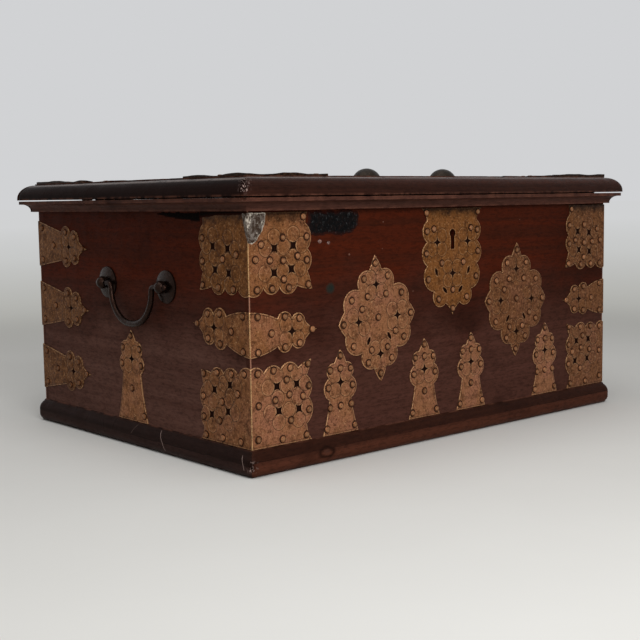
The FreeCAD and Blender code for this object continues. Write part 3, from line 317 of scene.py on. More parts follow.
def brassFinish(name, look):
    shade = newShade(name)
    span, pulse, cloud = shade.span, shade.pulse, shade.cloud
    bright, patina, soot = look["bright"], look["patina"], look["soot"]
    z = shade.axes()[2]
    rim, hole, pin, circle, fold, tint, ageAndShade = [shade.field(key) for key in plateFields]
    wide = cloud(0.05, 3, 0.6)
    blotch = cloud(0.15, 5, 0.7)
    fleck = cloud(0.5, 4, 0.65)
    grit = cloud(1.3, 3, 0.6)
    ring = span(pin, look["ringRadius"] + 0.7, look["ringRadius"] + 0.2)
    scribe = pulse(circle, look["scribeRadius"], 0.45) * span(blotch, 0.7, 0.5)
    glint = pulse(circle, look["scribeRadius"] - 0.7, 0.45) * span(blotch, 0.62, 0.45)
    lip = pulse(hole, 0.85, 0.5) * span(fleck, 0.6, 0.46)
    line = pulse(rim, look["rimLine"], 0.5)
    # wear and painted highlight: a bright line along the plate's rim
    edge = span(rim, 0.75, 0.3) * span(fleck, 0.62, 0.48)
    crease = span(fold, 0.9, 0.25) * span(grit, 0.66, 0.5)
    # painted shade: a dark border on the lid plates, whose sides stand in shade
    lidPlateShade = span(ageAndShade, 1.1, 1.4) * span(rim, 6, 1.5, 0.1, 0.9)
    # grime and painted shade under the rim moulding, darkest at the top of the wall plates and kept off the
    # lid
    shadeAndGrime = span(z + (blotch - 0.5) * 12, look["shadeAndGrimeLow"], look["shadeAndGrimeHigh"])
    shadeAndGrime = shadeAndGrime * span(z, look["shadeAndGrimeTop"], look["shadeAndGrimeTop"] - 4)
    colour = shade.layers(
        shade.mix(tint, look["olive"], look["copper"]),
        (span(wide, 0.42, 0.66) * tint * 0.6, look["pink"]),
        (span(blotch, 0.45, 0.7) * 0.75, patina),
        (span(fleck, 0.52, 0.68) * 0.75, patina),
        (span(grit, 0.55, 0.68) * 0.8, soot),
        (span(fleck, 0.46, 0.3) * span(grit, 0.54, 0.42) * 0.85, bright),
        (glint * 0.4, bright),
        (lip * 0.4, bright),
        (scribe * 0.75, soot),
        (line * 0.55, soot),
        (span(hole, 0.55, 0.15), soot),
        (edge * 0.6, bright),
        (ring * 0.9, look["shadow"]),
        # patina and painted shade: browning, heaviest on the right-hand front plates and the lid plates,
        # where less light falls
        (ageAndShade * span(fleck, 0.34, 0.66, 0.3, 0.8), patina),
        (lidPlateShade, soot),
        (crease * (1 - ageAndShade * 0.4) * 0.85, look["cream"]),
        (shadeAndGrime * 0.85, soot))
    dirt = span(blotch, 0.4, 0.75)
    rough = 0.44 + dirt * 0.2 + ring * 0.2 - edge * 0.06
    metal = 0.72 - dirt * 0.25 - ring * 0.5 - lidPlateShade * 0.5
    relief = blotch * 0.16 + fleck * 0.06 + grit * 0.02 - scribe * 0.08 - line * 0.05 - ring * 0.08
    return shade.paint(colour=colour, rough=rough, metal=metal, gloss=look["gloss"],
                       normal=shade.bump(relief))


def shadeAndGrimeFinish(name):  # the dark bottom of the piercings: grime and painted shade
    shade = newShade(name)
    crumb = shade.cloud(1.2, 4, 0.6)
    colour = shade.mix(shade.span(crumb, 0.35, 0.7), tone(16, 8, 6), tone(40, 20, 13))
    return shade.paint(colour=colour, rough=0.75 + crumb * 0.2, gloss=0.02, normal=shade.bump(crumb * 0.3))


def pinFinish(name, look):
    shade = newShade(name)
    span, patina = shade.span, look["patina"]
    crown = shade.field("crown")
    fleck = shade.cloud(0.8, 3, 0.6)
    colour = shade.layers(
        patina,
        (shade.field("tint"), look["copper"]),
        (span(crown, 0.9, 1.0) * 0.3, look["bright"]),
        (span(crown, 0.5, 0.2) * 0.85, look["shadow"]),
        (span(fleck, 0.48, 0.68) * 0.65, patina),
        # patina and painted shade: browning, darkest on the lid pins
        (shade.field("ageAndShade") * 0.5, patina))
    return shade.paint(colour=colour, rough=0.42 + fleck * 0.22, metal=0.7, gloss=look["gloss"],
                       normal=shade.bump(fleck * 0.12))


plateBrass = brassFinish("chased_brass", brassLook)
holeShadeAndGrime = shadeAndGrimeFinish("piercing_shade_and_grime")
pinBrass = pinFinish("pin_brass", brassLook)


# Iron, bronze and the plain hinge brass

metalLook = {
    "iron": {"base": tone(38, 26, 21), "stain": tone(50, 31, 23), "worn": tone(84, 70, 62), "rough": 0.14,
             "metal": 0.8, "gloss": 0.1},
    "bronze": {"base": tone(40, 31, 22), "stain": tone(24, 19, 15), "worn": tone(88, 72, 52), "rough": 0.34,
               "metal": 0.8, "gloss": 0.5},
    "lock": {"base": tone(44, 40, 39), "stain": tone(74, 46, 32), "worn": tone(110, 106, 102), "rough": 0.46,
             "metal": 0.7, "gloss": 0.5},
    "hinge": {"base": tone(112, 84, 50), "stain": tone(54, 40, 26), "worn": tone(168, 138, 92), "rough": 0.42,
              "metal": 0.8, "gloss": 0.5},
}


def forgedFinish(name, look):
    shade = newShade(name)
    scale = shade.cloud(0.22, 4, 0.65)
    pit = shade.span(shade.cells(0.7), 0.28, 0.05)
    rub = shade.cloud(0.5, 3, 0.6, 0.5)
    worn = shade.span(rub, 0.58, 0.78)
    colour = shade.layers(look["base"], (shade.span(scale, 0.45, 0.72) * 0.8, look["stain"]),
                          (worn * 0.5, look["worn"]), (pit * 0.5, tone(14, 11, 10)))
    return shade.paint(colour=colour, rough=look["rough"] + scale * 0.25 - worn * 0.1, metal=look["metal"],
                       gloss=look["gloss"], normal=shade.bump(scale * 0.3 - pit * 0.08 + rub * 0.06))


metals = {key: forgedFinish("forged_" + key, look) for key, look in metalLook.items()}
print("metal finishes made")


# Carried-over boards, mouldings and ironwork

dressLook = {"board": 0.7, "moulding": 0.5, "lock": 0.25, "hinge": 0.2, "segments": 2, "angle": 32}


def dress(node, material, bevel=None, look=dressLook):
    item = nodes[node]
    item.data.materials.clear()
    item.data.materials.append(material)
    if bevel:
        soft = item.modifiers.new("soft_edges", "BEVEL")
        soft.width = look[bevel] * mm
        soft.segments = look["segments"]
        soft.limit_method = "ANGLE"
        soft.angle_limit = math.radians(look["angle"])


for node in ("front_board", "back_board", "bottom_board"):
    dress(node, woods["waxed_wood_x"], "board")
dress("rim_moulding_back", woods["trim_wood_x"], "moulding")
for node in ("lid_moulding_back", "lid_board"):
    dress(node, woods["lid_wood_x"], "moulding")
for side in ("left", "right"):
    dress(f"{side}_end_board", woods["waxed_wood_y"], "board")
    for part in ("roses", "posts"):
        dress(f"{side}_{part}", metals["iron"])
dress("lid_bosses", metals["bronze"])
for node in ("lock_case", "lock_cover", "lock_bolt", "lid_keeper"):
    dress(node, metals["lock"], "lock")
for node in ("hinge_case_leaves", "hinge_lid_leaves", "hinge_pins"):
    dress(node, metals["hinge"], "hinge")
print("boards, mouldings and ironwork dressed")


# Walls of the box: outward, across and up

walls = {
    "front": ((0, -1, 0), (1, 0, 0), (0, 0, 1)),
    "left": ((-1, 0, 0), (0, -1, 0), (0, 0, 1)),
    "back": ((0, 1, 0), (-1, 0, 0), (0, 0, 1)),
    "right": ((1, 0, 0), (0, 1, 0), (0, 0, 1)),
    "lid": ((0, 0, 1), (1, 0, 0), (0, 1, 0)),
}
walls = {wall: np.array(ways, float) for wall, ways in walls.items()}
wallNodes = {"front": "front_board", "left": "left_end_board", "back": "back_board",
             "right": "right_end_board"}


def onWall(wall, flat, level):  # points across and up a wall, at a level outwards
    out, across, up = walls[wall]
    return flat[:, :1] * across + flat[:, 1:] * up + np.reshape(level, (-1, 1)) * out


def cadMesh(node):  # a node's points in millimetres and its triangles, with split corners joined
    mesh = nodes[node].data
    mesh.calc_loop_triangles()
    points = np.empty(len(mesh.vertices) * 3, np.float32)
    mesh.vertices.foreach_get("co", points)
    corners = np.empty(len(mesh.loop_triangles) * 3, np.int32)
    mesh.loop_triangles.foreach_get("vertices", corners)
    points = np.round(points.reshape(-1, 3).astype(float) / mm, 3)
    joined, place = np.unique(points, axis=0, return_inverse=True)
    return joined, place.reshape(-1)[corners].reshape(-1, 3)


wallFaces = {wall: (cadMesh(node)[0] @ walls[wall][0]).max() for wall, node in wallNodes.items()}
beside = {"front": "left", "back": "left", "left": "front", "right": "front"}


def tubeFaces(rings, sides, start=0):  # quads round a run of rings, then a cap at either end
    faces = []
    for ring in range(rings - 1):
        for side in range(sides):
            a = start + ring * sides + side
            b = start + ring * sides + (side + 1) % sides
            faces.append((a, b, b + sides, a + sides))
    last = start + (rings - 1) * sides
    faces.append(tuple(range(start, start + sides))[::-1])
    faces.append(tuple(range(last, last + sides)))
    return faces


sameSpot = 0.004
farAway = 99.0


def addObject(name, data):
    item = bpy.data.objects.new(name, data)
    bpy.context.scene.collection.objects.link(item)
    return item


def makePiece(name, points, faces, material, body, slot, fields=None, faceSlots=None, smooth=38):
    mesh = bpy.data.meshes.new(name)
    mesh.from_pydata((np.asarray(points) * mm).tolist(), [], [list(map(int, face)) for face in faces])
    for key, values in (fields or {}).items():
        layer = mesh.attributes.new(key, "FLOAT", "POINT")
        layer.data.foreach_set("value", np.asarray(values, np.float32))
    for one in material if isinstance(material, list) else [material]:
        mesh.materials.append(one)
    if faceSlots is not None:
        mesh.polygons.foreach_set("material_index", np.asarray(faceSlots, np.int32))
    shape = bmesh.new()
    shape.from_mesh(mesh)
    bmesh.ops.remove_doubles(shape, verts=shape.verts, dist=sameSpot * mm)
    shape.to_mesh(mesh)
    shape.free()
    mesh.polygons.foreach_set("use_smooth", np.ones(len(mesh.polygons), bool))
    mesh.set_sharp_from_angle(angle=math.radians(smooth))
    piece = addObject(name, mesh)
    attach(piece, body)
    return piece


# Pin heads: hand-made domes, no two quite alike

# browning of the pins by wall: patina, and on the lid painted shade as well
pinLook = {"sides": 18, "radius": 2.2, "rise": 0.8, "seat": 1.3, "sunk": 0.3, "growth": 0.08, "oval": 0.06,
           "lean": 0.07, "dent": 0.1, "agesAndShade": {"front": 0.1, "lid": 1.4}, "endAge": 0.4, "backFrom": 60.0,
           "backAge": 1.0}
domeShares = [(1.0, 0.0), (1.03, 0.3), (0.99, 0.6), (0.9, 0.83), (0.68, 0.95), (0.34, 0.99), (0.0, 1.0)]


def pinTops(node, wall):
    points = cadMesh(node)[0]
    level = points @ walls[wall][0]
    crown = points[level > level.max() - sameSpot]
    return crown @ walls[wall][1:].T, level.max()


def pinHeads(node, wall, body, look, draw):
    flat, crest = pinTops(node, wall)
    sides, rings = look["sides"], len(domeShares) - 1
    around = np.arange(sides) * math.tau / sides
    points, faces, crowns, tints = [], [], [], []
    for spot in flat:
        size = look["radius"] * (1 + draw.uniform(-1, 1) * look["growth"])
        rise = look["rise"] * (1 + draw.uniform(-1, 1) * look["growth"])
        oval, turn = draw.uniform(0, look["oval"]), draw.uniform(0, math.tau)
        lean = draw.uniform(-look["lean"], look["lean"], 2)
        tint = draw.uniform(0.35, 1)
        dent = draw.uniform(0, look["dent"])
        start = len(points)
        for reach, lift in domeShares[:-1]:
            for angle in around:
                radius = size * reach * (1 + oval * math.cos(2 * (angle - turn)))
                flatSpot = np.array([math.cos(angle), math.sin(angle)]) * radius
                level = crest - look["seat"] - look["sunk"] + (rise + look["sunk"]) * lift
                level += flatSpot @ lean - dent * lift * math.cos(angle - turn) * reach
                points.append((*(spot + flatSpot), level))
                crowns.append(lift)
                tints.append(tint)
        points.append((*spot, crest - look["seat"] + rise))
        crowns.append(1)
        tints.append(tint)
        faces += tubeFaces(rings, sides, start)[:-1]
        top = start + rings * sides
        faces += [(top - sides + side, top - sides + (side + 1) % sides, top) for side in range(sides)]
    points = np.array(points)
    solid = onWall(wall, points[:, :2], points[:, 2])
    agesAndShade = np.full(len(points), look["agesAndShade"].get(wall, look["endAge"]))
    if wall not in look["agesAndShade"]:
        agesAndShade[solid[:, 1] > look["backFrom"]] = look["backAge"]
    piece = makePiece(node.replace("pins", "pin_heads"), solid, faces, pinBrass, body, "brass_pins",
                      {"crown": crowns, "tint": tints, "ageAndShade": agesAndShade}, smooth=70)
    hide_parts(node)
    return flat


draw = np.random.default_rng(7)
pinFlats = {}
for wall in ("front", "left", "right", "back", "lid"):
    body = "lid" if wall == "lid" else "case"
    pinFlats[wall] = pinHeads(f"{wall}_pins", wall, body, pinLook, draw)
print("pin heads made:", {wall: len(flat) for wall, flat in pinFlats.items()})


# Chased plates: each pierced outline becomes a fine sheet with a chased rim, punched rings round its pins,
# a soft worn edge and the unevenness of hammered metal

chaseLook = {
    "grid": 1.25,
    "gridRise": 0.866,
    "edgeStep": 0.75,
    "gridMargin": 0.6,
    "rows": (0.35, 0.85, 1.25, 1.7),
    "rowShare": 0.93,
    "rings": (2.3, 2.72, 3.1, 3.5),
    "ringMargin": 0.28,
    "ringGap": 0.4,
    "ringSides": 22,
    "scribeRings": (5.7, 6.1, 6.5),
    "scribeSides": 40,
    "starReach": 4.6,
    "starWaist": 1.4,
    "merge": 5.0,
    "thickness": 0.9,
    "edgeDrop": 0.28,
    "edgeWidth": 0.5,
    "rimLine": 1.25,
    "rimDepth": 0.13,
    "rimHalf": 0.6,
    "ringRadius": 2.72,
    "ringDepth": 0.3,
    "ringHalf": 0.75,
    "scribeRadius": 6.1,
    "scribeDepth": 0.12,
    "scribeHalf": 0.5,
    "hammer": 0.16,
    "hammerSize": 7,
    "buckle": 0.3,
    "buckleSize": 26,
    "buckleIn": 0.35,
    "foldDrop": 0.4,
    "foldWidth": 1.0,
    "lidLift": 1.4,
    "curlWidth": 9,
    "curlShare": 0.6,
    "floorLift": 0.12,
    "smallHole": 2.25,
    "largeLoop": 6,
    "holeStep": 0.55,
    "denseStep": 0.3,
    "cornerTurn": 30,
    "onFold": 0.05,
    "pinMargin": 2,
    "shallow": 9,
    "calmWidth": 4,
}


def flatLoops(points, triangles, wall):
    out, across, up = walls[wall]
    level = points @ out
    top = level.max()
    flat = triangles[(level[triangles] > top - 2 * sameSpot).all(axis=1)]
    sides = {pair for a, b, c in flat.tolist() for pair in ((a, b), (b, c), (c, a))}
    follow = {a: b for a, b in sorted(sides) if (b, a) not in sides}
    loops = []
    while follow:
        start = next(iter(follow))
        loop, point = [start], follow.pop(start)
        while point != start:
            loop.append(point)
            point = follow.pop(point)
        loops.append(points[loop] @ np.stack([across, up], axis=1))
    return loops, top


def turnOf(loop):  # degrees turned at each point, left above zero
    ahead = np.roll(loop, -1, axis=0) - loop
    behind = loop - np.roll(loop, 1, axis=0)
    cross = behind[:, 0] * ahead[:, 1] - behind[:, 1] * ahead[:, 0]
    return np.degrees(np.arctan2(cross, (behind * ahead).sum(axis=1)))


def evenly(run, step):  # points about a step apart along a run, and how far along each one is
    length = np.concatenate([[0], np.cumsum(np.linalg.norm(np.diff(run, axis=0), axis=1))])
    at = np.linspace(0, length[-1], max(1, round(length[-1] / step)) + 1)
    return np.stack([np.interp(at, length, run[:, 0]), np.interp(at, length, run[:, 1])], axis=1), at


def resample(loop, step, cornerTurn):  # even points, with the corners kept
    marks = np.flatnonzero(np.abs(turnOf(loop)) > cornerTurn)
    if len(marks) == 0:
        marks = np.array([0])
    spaced = []
    for index, mark in enumerate(marks):
        end = marks[(index + 1) % len(marks)]
        count = (end - mark) % len(loop) or len(loop)
        run = loop[(mark + np.arange(count + 1)) % len(loop)]
        spaced.append(evenly(run, step)[0][:-1])
    return np.concatenate(spaced)


def nearest(points, others):  # distance to the nearest of the others, and which one
    if len(others) == 0:
        return np.full(len(points), farAway), np.zeros(len(points), int)
    tree = kdtree.KDTree(len(others))
    for index, spot in enumerate(others):
        tree.insert((spot[0], spot[1], 0), index)
    tree.balance()
    found = [tree.find((spot[0], spot[1], 0)) for spot in points]
    return np.array([one[2] for one in found]), np.array([one[1] for one in found], int)


def loopArea(loop):
    after = np.roll(loop, -1, axis=0)
    return (loop[:, 0] * after[:, 1] - loop[:, 1] * after[:, 0]).sum() / 2


def inwardOf(loop):  # unit normals into the metal
    ahead = np.roll(loop, -1, axis=0) - np.roll(loop, 1, axis=0)
    inward = np.stack([-ahead[:, 1], ahead[:, 0]], axis=1)
    return inward / (np.linalg.norm(inward, axis=1)[:, None] + 1e-9)


def insideOf(points, edge, inward, margin):  # the points at least this far inside an edge
    gap, index = nearest(points, edge)
    side = ((points - edge[index]) * inward[index]).sum(axis=1)
    return points[(gap > margin) & (side > 0)]


def staggered(low, high, step, rise):  # a grid with every other row shifted by half a step
    across, up = np.arange(low[0], high[0], step), np.arange(low[1], high[1], step * rise)
    grid = np.stack(np.meshgrid(across, up), axis=2)
    grid[1::2, :, 0] += step / 2
    return grid.reshape(-1, 2)


def triangulate(points, rounds):  # points, triangles, and the loops that each triangle lies within
    flat = [Vector(p) for p in points]
    spots, _, faces, _, _, within = geometry.delaunay_2d_cdt(flat, [], rounds, 0, 1e-4)
    return np.array([tuple(p) for p in spots]), np.array(faces), [set(one) for one in within]


def waves(points, size, depth):
    return np.array([noise.noise(Vector((*(p / size), depth))) for p in points])


def scribedCentres(loops, look):  # the circles that leave the star piercings between them
    centres = []
    for loop in loops:
        middle = loop.mean(axis=0)
        reach = np.linalg.norm(loop - middle, axis=1)
        if loopArea(loop) > 0 or reach.max() > look["starReach"] or reach.min() < look["starWaist"]:
            continue
        tip = loop[reach.argmax()] - middle
        for quarter in range(4):
            turn = math.atan2(tip[1], tip[0]) + math.tau * (quarter + 0.5) / 4
            way = np.array([math.cos(turn), math.sin(turn)])
            centre = middle + way * (reach.min() + look["scribeRadius"])
            near = [one for one in centres if np.linalg.norm(one - centre) < look["merge"]]
            if near:
                near[0] += (centre - near[0]) / 2
            else:
                centres.append(centre)
    return np.array(centres).reshape(-1, 2)


def dip(gap, centre, half):
    return np.clip(1 - np.abs(gap - centre) / half, 0, 1) ** 2


def sheetOutline(node, wall, look):  # loops round the metal and its piercings, and the level of the face
    loops, top = flatLoops(*cadMesh(node), wall)
    kept = []
    for loop in loops:
        reach = np.linalg.norm(loop - loop.mean(axis=0), axis=1).max()
        if reach > look["smallHole"]:
            step = look["edgeStep"] if reach > look["largeLoop"] else look["holeStep"]
            kept.append(resample(loop, step, look["cornerTurn"]))
    return kept, top


def sheetPoints(kept, fine, pins, circles, look):  # edges, rows beside them, rings, and a grid between
    dense, outline = np.concatenate(fine), np.concatenate(kept)
    inward = np.concatenate([inwardOf(loop) for loop in fine])
    extra = [insideOf(loop + inwardOf(loop) * row, dense, inward, row * look["rowShare"])
             for loop in kept for row in look["rows"]]
    for centres, radii, sides in ((pins, look["rings"], look["ringSides"]),
                                  (circles, look["scribeRings"], look["scribeSides"])):
        around = np.arange(sides) * math.tau / sides
        for radius in radii:
            ring = np.stack([np.cos(around), np.sin(around)], axis=1) * radius
            ring = (centres[:, None, :] + ring[None, :, :]).reshape(-1, 2)
            if centres is circles:  # the pins' own rings come first
                ring = ring[nearest(ring, pins)[0] > max(look["rings"]) + look["ringGap"]]
            extra.append(insideOf(ring, dense, inward, look["ringMargin"]))
    extra = np.concatenate(extra)
    step = look["grid"]
    grid = staggered(outline.min(axis=0), outline.max(axis=0), step, look["gridRise"])
    grid = insideOf(grid, dense, inward, look["gridMargin"] + max(look["rows"]))
    grid = grid[nearest(grid, extra)[0] > step / 2]
    return np.concatenate([outline, extra, grid])


def sheetLevels(wall, spots, top, gaps, look, seed):  # how far out each point of the sheet lies
    rim, hole, pin, circle, fold = gaps
    level = np.full(len(spots), top)
    level -= look["edgeDrop"] * np.clip(1 - np.minimum(rim, hole) / look["edgeWidth"], 0, 1) ** 2
    level -= look["rimDepth"] * dip(rim, look["rimLine"], look["rimHalf"])
    level -= look["ringDepth"] * dip(pin, look["ringRadius"], look["ringHalf"])
    level -= look["scribeDepth"] * dip(circle, look["scribeRadius"], look["scribeHalf"])
    calm = np.clip(fold / look["calmWidth"], 0, 1)
    beaten = waves(spots, look["hammerSize"], seed)
    waved = waves(spots, look["buckleSize"], seed + 9)
    level += calm * (look["hammer"] * beaten + look["buckle"] * (waved - look["buckleIn"]))
    if wall == "lid":  # edges curling up from the lid
        curl = np.clip(1 - rim / look["curlWidth"], 0, 1)
        level += look["lidLift"] * curl * np.clip(look["curlShare"] + waved, 0, 1)
    return level


def sheetSkirt(faces, fold, start, look):  # faces down from the free edges, and the point over each new one
    used = {pair for a, b, c in faces for pair in ((a, b), (b, c), (c, a))}
    skirt, above, ids = [], [], {}
    for first, second in sorted(used):
        if (second, first) in used or max(fold[first], fold[second]) < look["onFold"]:
            continue
        for point in (first, second):
            if point not in ids:
                ids[point] = start + len(above)
                above.append(point)
        skirt.append([second, first, ids[first], ids[second]])
    return skirt, np.array(above, int)


def chasedSheet(node, wall, look, tint, seed):
    kept, top = sheetOutline(node, wall, look)
    base = top - look["thickness"]
    fine = [resample(loop, look["denseStep"], look["cornerTurn"]) for loop in kept]
    dense, outline = np.concatenate(fine), np.concatenate(kept)
    inHoles = np.concatenate([np.full(len(loop), loopArea(loop) < 0) for loop in fine])
    foldAt = wallFaces[beside[wall]] + look["thickness"] if wall in beside else math.inf
    onFold = np.abs(np.abs(dense[:, 0]) - foldAt) < look["onFold"]
    low, high = outline.min(axis=0) - look["pinMargin"], outline.max(axis=0) + look["pinMargin"]
    pins = pinFlats[wall]
    pins = pins[((pins > low) & (pins < high)).all(axis=1)]
    circles = scribedCentres(fine, look)

    rounds, holes, shallow, start = [], set(), set(), 0
    for index, loop in enumerate(kept):
        ids = list(range(start, start + len(loop)))
        start += len(loop)
        if loopArea(loop) < 0:
            ids.reverse()
            holes.add(index)
            if np.ptp(loop[:, 1]) < look["shallow"]:
                shallow.add(index)
        rounds.append(ids)
    spots, faces, within = triangulate(sheetPoints(kept, fine, pins, circles, look), rounds)
    a, b, c = (spots[faces[:, corner]] for corner in range(3))
    flip = (b[:, 0] - a[:, 0]) * (c[:, 1] - a[:, 1]) - (b[:, 1] - a[:, 1]) * (c[:, 0] - a[:, 0]) < 0
    faces[flip] = faces[flip][:, ::-1]
    metal = faces[[bool(one) and not one & holes for one in within]].tolist()
    # the floor of each shallow piercing: a dark sheet of grime and painted shade
    floor = faces[[bool(one & shallow) for one in within]]

    rim = nearest(spots, dense[~onFold & ~inHoles])[0]
    hole = nearest(spots, dense[inHoles])[0]
    pin = nearest(spots, pins)[0]
    circle = np.full(len(spots), farAway)
    for centre in circles:  # from the centre of whichever scribed line is closest
        reach = np.linalg.norm(spots - centre, axis=1)
        closer = np.abs(reach - look["scribeRadius"]) < np.abs(circle - look["scribeRadius"])
        circle = np.where(closer, reach, circle)
    fold = np.abs(foldAt - np.abs(spots[:, 0])) if onFold.any() else np.full(len(spots), farAway)
    gaps = (rim, hole, pin, circle, fold)

    roll = look["foldDrop"] * np.clip(1 - fold / look["foldWidth"], 0, 1) ** 2
    place = spots.copy()
    place[:, 0] -= np.sign(place[:, 0]) * np.where(fold < look["onFold"], roll, 0)
    upper = onWall(wall, place, sheetLevels(wall, spots, top, gaps, look, seed) - roll)
    skirt, above = sheetSkirt(metal, fold, len(upper), look)
    lower = onWall(wall, spots[above], np.full(len(above), base))
    under = np.unique(floor)
    bottom = onWall(wall, spots[under], np.full(len(under), base + look["floorLift"]))
    renumber = {int(old): len(upper) + len(lower) + new for new, old in enumerate(under)}
    floor = [[renumber[one] for one in face] for face in floor.tolist()]

    frontHue, frontAgeAndShade, endAge, endHue = tint
    hue, ageAndShade = (frontHue, frontAgeAndShade) if wall in ("front", "lid") else (endHue, endAge)
    whole = np.ones(len(spots))
    order = np.concatenate([np.arange(len(upper)), above, under])
    fields = {key: values[order] for key, values in zip(plateFields, (*gaps, whole * hue, whole * ageAndShade))}
    slots = [0] * (len(metal) + len(skirt)) + [1] * len(floor)
    return np.concatenate([upper, lower, bottom]), metal + skirt + floor, slots, fields


def chasedPlate(node, sides, body, tint, seed, look=chaseLook):
    points, faces, slots, fields = [], [], [], {}
    count = 0
    for wall in sides:
        part, partFaces, partSlots, partFields = chasedSheet(node, wall, look, tint, seed)
        points.append(part)
        faces += [[one + count for one in face] for face in partFaces]
        slots += partSlots
        for key, values in partFields.items():
            fields.setdefault(key, []).append(values)
        count += len(part)
    fields = {key: np.concatenate(values) for key, values in fields.items()}
    piece = makePiece(node + "_chased", np.concatenate(points), faces, [plateBrass, holeShadeAndGrime], body,
                      "brass_plate", fields, slots)
    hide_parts(node)


plateTints = {  # hue (olive 0 to copper 1) and browning in front, then browning and hue on an end; the front browning is patina and also painted shade, heaviest on the right-hand plates and the lid
    "escutcheon": (0.1, 0.1, 0, 0), "left_lozenge": (0.9, 0, 0, 0), "right_lozenge": (0.55, 0.7, 0, 0),
    "front_spires": (1.0, 0, 0, 0), "left_end_spire": (0, 0, 0.1, 0.45), "right_end_spire": (0, 0, 0.2, 0.5),
    "front_left_corner_upper": (0.5, 0.12, 0.65, 0.0), "front_left_corner_lower": (0.95, 0, 0.45, 0.5),
    "front_left_clasp": (0.6, 0.05, 0.4, 0.3), "front_right_corner_upper": (0.35, 0.75, 0.5, 0.3),
    "front_right_corner_lower": (0.7, 0.65, 0.4, 0.6), "front_right_clasp": (0.4, 0.7, 0.4, 0.4),
    "strap": (0.3, 0.4, 0.9, 0.0), "lid": (0.4, 1.45, 0, 0),
}
plateSides = {node: ["front"] for node in ("escutcheon", "left_lozenge", "right_lozenge", "front_spires")}
plateSides.update({"left_end_spire": ["left"], "right_end_spire": ["right"], "lid_centre_mount": ["lid"]})
for side in ("left", "right"):
    for part in ("corner_upper", "corner_lower", "clasp"):
        plateSides[f"front_{side}_{part}"] = ["front", side]
    for part in ("upper", "middle", "lower"):
        plateSides[f"back_{side}_strap_{part}"] = ["back", side]
    for depth in ("front", "back"):
        plateSides[f"lid_corner_{depth}_{side}"] = ["lid"]
for seed, (node, sides) in enumerate(plateSides.items()):
    body = "lid" if sides == ["lid"] else "case"
    tint = plateTints.get(node) or plateTints["lid" if body == "lid" else "strap"]
    chasedPlate(node, sides, body, tint, seed * 3.7)
print("chased plates made:", len(plateSides))


# Mouldings: the section of each is swept again with the wander of hand planing, worn arrises and dents

mouldingLook = {
    "step": 2.4,
    "profileStep": 0.9,
    "cornerTurn": 20,
    "wander": 0.22,
    "swellShare": 0.8,
    "seatWidth": 2.0,
    "footGap": 0.2,
    "footWidth": 1.5,
    "dent": 0.9,
    "mitreRound": 1.1,
    "mitreChip": 2.6,
    "mitreReach": 6.0,
    "chipBand": {"lid": (200.5, 211.5), "rim": (195.5, 199.0), "base": (4.0, 13.0)},
    "calmWidth": 6,
    "slowLength": 46,
    "swellLength": 110,
    "nickSize": 4,
    "nickFrom": 0.25,
    "arrisTurn": 12,
    "arrisSpan": 40,
    "arrisSpread": 0.45,
    "crumbSize": 2.2,
    "bandFade": 2,
    "bareFrom": 0.8,
    "chipFrom": 0.7,
    "chipLeast": 0.2,
}


def sectionOf(node, wall):  # the moulding's outline at its middle, as outward and up
    points, triangles = cadMesh(node)
    out, across, up = walls[wall]
    shape = bmesh.new()
    corners = [shape.verts.new(point) for point in points]
    for triangle in triangles:
        shape.faces.new([corners[one] for one in triangle])
    cut = bmesh.ops.bisect_plane(shape, geom=shape.verts[:] + shape.edges[:] + shape.faces[:],
                                 plane_co=(0, 0, 0), plane_no=across)
    links = {}
    for edge in cut["geom_cut"]:
        if isinstance(edge, bmesh.types.BMEdge):
            first, second = edge.verts
            links.setdefault(first, []).append(second)
            links.setdefault(second, []).append(first)
    start = next(iter(links))
    chain, before, here = [start], start, links[start][0]
    while here != start:
        chain.append(here)
        before, here = here, [one for one in links[here] if one != before][0]
    loop = np.array([[vert.co @ Vector(out), vert.co @ Vector(up)] for vert in chain])
    shape.free()
    return loop if loopArea(loop) > 0 else loop[::-1]


